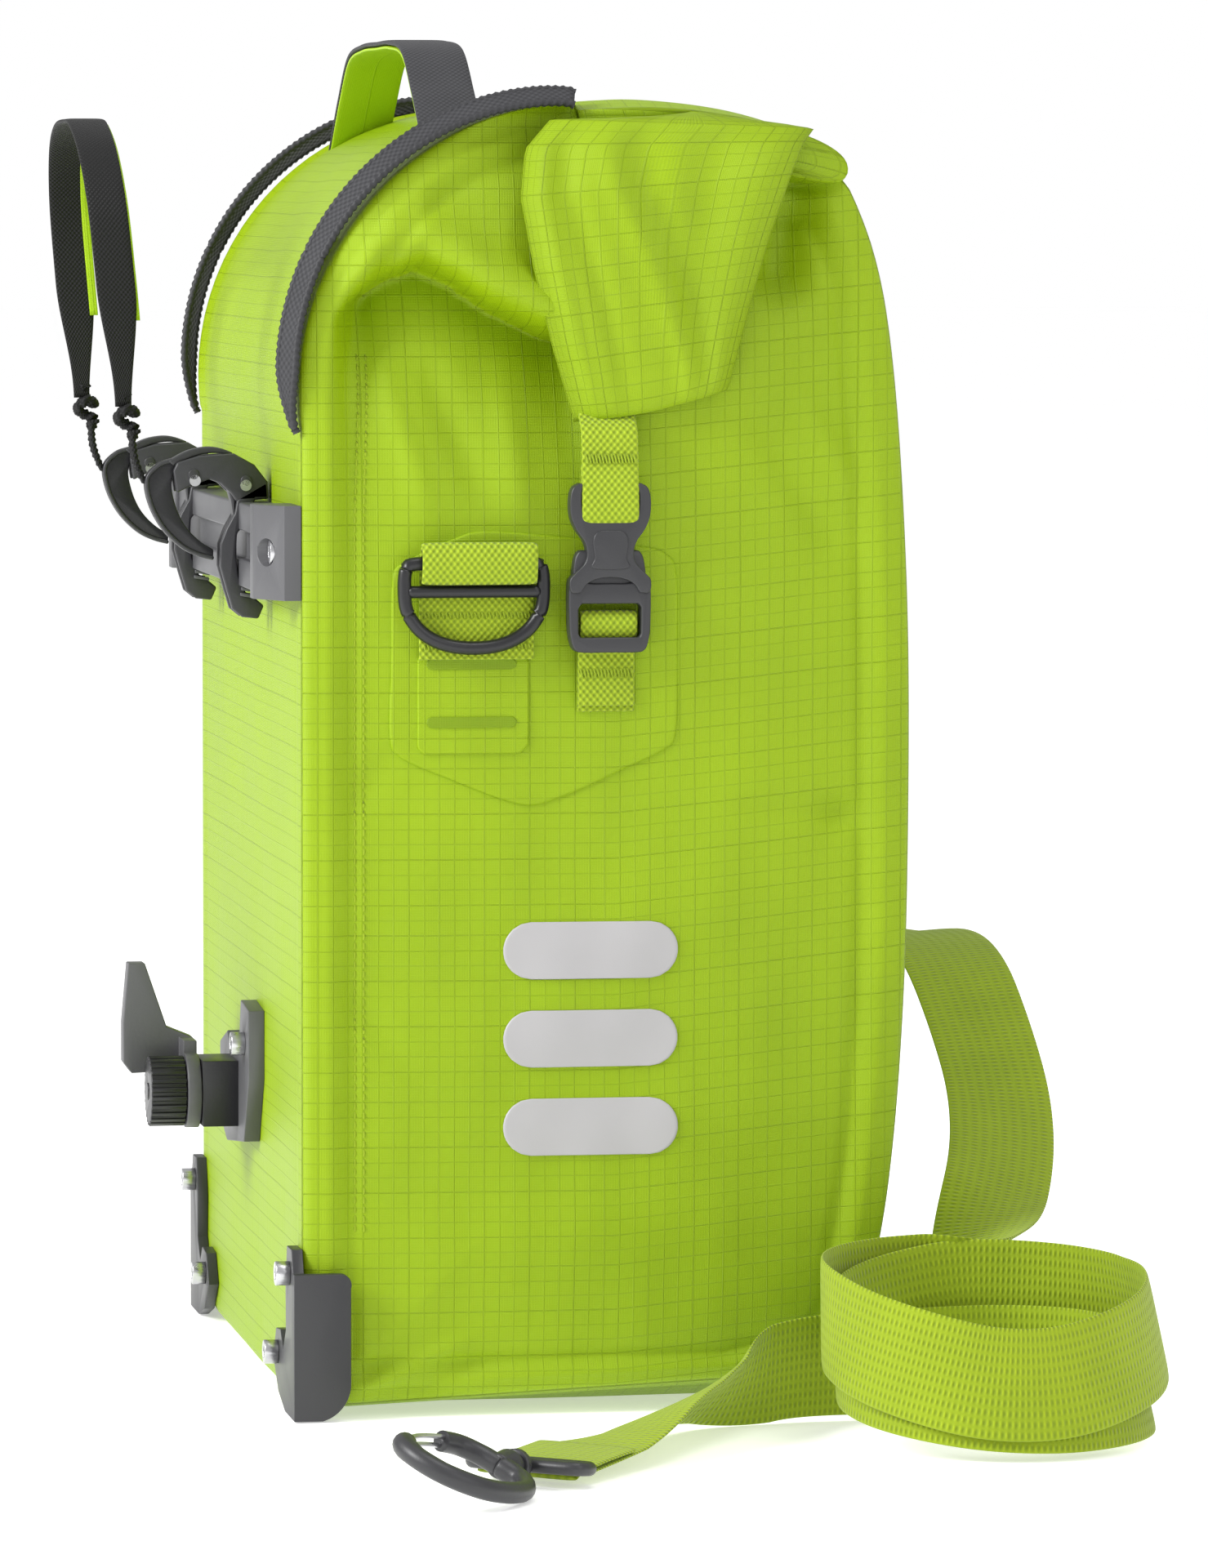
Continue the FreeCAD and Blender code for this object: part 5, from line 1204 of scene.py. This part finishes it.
for label, x in (("left", -0.060), ("right", 0.080)):
    hook, lever = "hook_" + label, "lever_" + label
    for where, sign in (("near", -1), ("far", 1)):
        a, b = sorted((x + sign * 0.0034, x + sign * 0.0060))
        moulding("cheek_%s_%s" % (where, label), cheek, a, b, "charcoal_plastic", hook)
        moulding("leg_%s_%s" % (where, label), leg, a, b, "charcoal_plastic", hook)
        a, b = sorted((x + sign * 0.0060, x + sign * 0.0066))
        for number, (u, z) in enumerate([(-28.1, 327.9), (-9.4, 325.6)]):
            disc(u, z, 2.0, a, b, "pin_cap_%s_%s_%d" % (where, label, number), "charcoal_plastic", hook)
    moulding("saddle_" + label, [(-1.6, 324.6), (-1.6, 319.2), (-12.5, 318.8), (-12.5, 287.0),
        (-15.5, 287.0),
                                 (-17.8, 296.0), (-17.8, 303.0), (-16.0, 308.6), (-13.6, 313.0),
                                 (-14.6, 319.0),
                                 (-16.0, 324.4)], x - 0.0036, x + 0.0036, "charcoal_plastic", hook)
    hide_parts("rack_hook_" + label)
    for rib in range(5):
        z = 284.6 + 2.0 * rib
        slope = -14.6 + 0.35 * rib
        for where, sign in (("near", -1), ("far", 1)):
            a, b = sorted((x + sign * 0.0044, x + sign * 0.0072))
            moulding("rib_%s_%s_%d" % (where, label, rib), [(slope + 3.0, z), (slope + 8.6, z - 0.9),
                     (slope + 8.6, z + 0.3), (slope + 3.0, z + 1.2)], a, b, "grey_plastic", hook,
                     0.0003)
    blade = moulding("crescent_" + label, crescent, x - 0.0018, x + 0.0018, "black_plastic", lever,
                     0.0005)
    normal = unit(np.stack([-np.gradient(crescent_out[:, 1]), np.gradient(crescent_out[:, 0])], -1))
    shift = normal * (1.5 if ((crescent_out[30] + normal[30] - [-30, 318]) ** 2).sum()
                      < ((crescent_out[30] - [-30, 318]) ** 2).sum() else -1.5)
    moulding("crescent_rim_" + label, np.vstack([crescent_out, (crescent_out + shift)[::-1]]), x - 0.0030,
        x + 0.0030,
             "charcoal_plastic", lever, 0.0006)
    moulding("crescent_band_" + label, np.vstack([top_band, band_under]), x - 0.0032, x + 0.0032,
             "charcoal_plastic", lever, 0.0006)
    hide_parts("hook_lever_" + label)
print("hooks and levers made")

# %% [markdown]
# ## Rounded hardware
# The remaining hardware has the right shape already, but its edges are mathematically sharp. A copy
# of each mesh is merged into closed faces and gets a small Bevel, which gives the highlight along
# each edge that real mouldings and machined screws have.

# %% Bevelled copies of hard parts
EDGES = {"charcoal_plastic": 0.0009, "black_plastic": 0.0005, "grey_plastic": 0.0009, "steel": 0.0003,
         "rail_plastic": 0.0008}
body_of = {node: body for body, nodes in frame["record"]["behaviour"]["bodies"].items() for node in nodes}


def rounded_copy(node, width, segments=2):
    """A merged copy of a CAD mesh with bevelled edges, on the same body and slot."""
    import bmesh
    source = frame["nodes"][node]
    mesh = source.data.copy()
    mesh.name = node + "_rounded"
    work = bmesh.new()
    work.from_mesh(mesh)
    bmesh.ops.remove_doubles(work, verts=work.verts, dist=2e-6)
    bmesh.ops.dissolve_limit(work, angle_limit=math.radians(1.5), verts=work.verts[:], edges=work.edges[:])
    work.to_mesh(mesh)
    work.free()
    mesh.polygons.foreach_set("use_smooth", [True] * len(mesh.polygons))
    mesh.materials.clear()
    mesh.materials.append(finishes[slot_of[node]])
    piece = bpy.data.objects.new(node + "_rounded", mesh)
    bpy.context.scene.collection.objects.link(piece)
    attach(piece, body_of.get(node, "bag"))
    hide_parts(node)
    edge = piece.modifiers.new("rounded_edges", "BEVEL")
    edge.width, edge.segments, edge.limit_method, edge.angle_limit = width, segments, "ANGLE", math.radians(
        32)
    edge.use_clamp_overlap = True
    edge.harden_normals = True
    return piece


rounded = []
for node in sorted(frame["nodes"]):
    if any(word in node for word in ("housing", "clamp", "guard", "knob", "finger", "hook_rail", "screw")):
        rounded.append(rounded_copy(node, EDGES.get(slot_of[node], 0.0005)))
print(len(rounded), "hard parts rounded:", [piece.name for piece in rounded])

# %% [markdown]
# ## Snap hooks
# Each snap hook is a bent bar of round section that thickens at its nose, a swivel with a collar
# below it, and a frame that the strap is sewn round. The gate is a loop of spring wire.


# %% Snap hooks
def plane_points(origin, along, across, outline):
    """Points of an outline given in millimetres in a plane through origin."""
    outline = np.asarray(outline, float) / 1000
    return np.asarray(origin) + outline[:, :1] * np.asarray(along) + outline[:, 1:2] * np.asarray(across)


def snap_hook(name, foot, along, loop_across, ring_across, bodies, nodes):
    """A snap hook from the foot of its strap frame: line numbers are millimetres along and across."""
    along, loop_across, ring_across = [unit(np.array(v, float)) for v in (along, loop_across, ring_across)]
    loop_body, ring_body, gate_body = bodies
    frame_line = smooth_curve([(2.6, -16), (4.5, -20), (10, -20.4), (13.2, -17), (13.4, 0), (13.2, 17),
        (10, 20.4),
                               (4.5, 20), (2.6, 16), (2.4, 0)], 110, closed=True)
    line = plane_points(foot, along, loop_across, frame_line)
    points, faces, uv = round_tube(np.vstack([line, line[:1]]), 0.0024, 14)
    loop = finish_mesh(add_piece(name + "_strap_frame", points, faces, finishes["charcoal_plastic"],
        loop_body,
                                 uv))
    made = [loop]
    for number, (at, size) in enumerate(((16.4, 0.0044), (19.6, 0.0056), (23.0, 0.0046))):
        axis = plane_points(foot, along, loop_across, [(at - 1.5, 0), (at, 0), (at + 1.5, 0)])
        points, faces, uv = round_tube(resample(axis, 6), size, 20)
        made.append(finish_mesh(add_piece("%s_collar_%d" % (name, number), points, faces,
                                          finishes["charcoal_plastic"], loop_body, uv),
                                          0.0008, 2))
    axis = plane_points(foot, along, ring_across, [(24.8, 0), (28, 0), (33, 0)])
    points, faces, uv = round_tube(resample(axis, 8), np.linspace(0.0058, 0.0040, 8), 20)
    made.append(finish_mesh(add_piece(name + "_neck", points, faces, finishes["charcoal_plastic"],
        ring_body,
                                      uv), 0.0008, 2))
    bent = smooth_curve([(31, -1), (33, -10), (42, -16.2), (55, -17.4), (68, -14), (76.4, -5), (77.6, 5),
                         (74.2, 13), (69, 16.9), (65.2, 17.5)], 110)
    thick = np.interp(np.linspace(0, 1, 110), [0, 0.08, 0.4, 0.8, 0.94, 1],
                      [0.0040, 0.0036, 0.0036, 0.0036, 0.0041, 0.0022])
    points, faces, uv = round_tube(plane_points(foot, along, ring_across, bent), thick, 16)
    ring = finish_mesh(add_piece(name + "_bent_bar", points, faces, finishes["charcoal_plastic"], ring_body,
                                 uv))
    root = smooth_curve([(31, 0), (31.4, 8), (35, 14.4), (42.4, 17.4)], 40)
    points, faces, uv = round_tube(plane_points(foot, along, ring_across, root), 0.0036, 16)
    made += [ring,
        finish_mesh(add_piece(name + "_root", points, faces, finishes["charcoal_plastic"], ring_body,
                                         uv))]
    normal = np.cross(along, ring_across)
    for number, shift in enumerate((-1.6, 1.6)):
        wire = smooth_curve([(41.5, 17.2), (50, 18.2), (58, 18.4), (66.5, 17.4)], 30)
        points, faces, uv = round_tube(plane_points(foot, along, ring_across, wire) + normal * shift / 1000,
            0.0009, 10)
        gate = finish_mesh(add_piece("%s_wire_%d" % (name, number), points, faces, finishes["steel"],
            gate_body,
                                     uv))
        made.append(gate)
    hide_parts(nodes[0])
    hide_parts(nodes[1])
    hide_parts(nodes[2])
    return made


front_hook = snap_hook("front_hook", (-0.29424, 0.01619, 0.0058), (-0.80873, 0.58817, 0.12),
    (0.58817, 0.80873, 0),
                       (0.533, 0.733, 0.42), ("bag", "front_hook_ring", "front_hook_gate"),
                       ("front_snap_loop", "front_snap_ring", "front_snap_gate"))
snap_hook("back_hook", (0.1733, 0.0177, 0.197), (0, 0, 1), (0, 1, 0), (1, 0, 0),
          ("back_hook_loop", "ring_right", "back_hook_gate"),
          ("back_snap_loop", "back_snap_ring", "back_snap_gate"))

# %% Sewn strap end
toward = unit(strap_line[-1] - strap_line[-12])
tab_line = np.stack([strap_line[-1] - toward * 0.030, strap_line[-1] - toward * 0.010,
                     strap_line[-1] + toward * 0.004, strap_line[-1] + toward * 0.009])
tab_line[:, 2] += [0.0016, 0.0018, 0.0012, 0.0000]
tab_line = smooth_curve(tab_line, 40)
side_way = unit(np.cross([0, 0, 1.0], toward))
points, faces, uv = tape(tab_line, np.tile(side_way, (40, 1)), np.tile([0, 0, 1.0], (40, 1)), 0.0385,
    0.0016)
tab = finish_mesh(add_piece("strap_end_tab", points, faces, finishes["strap_webbing"], "bag",
    uv))
print("snap hooks and sewn strap end made")
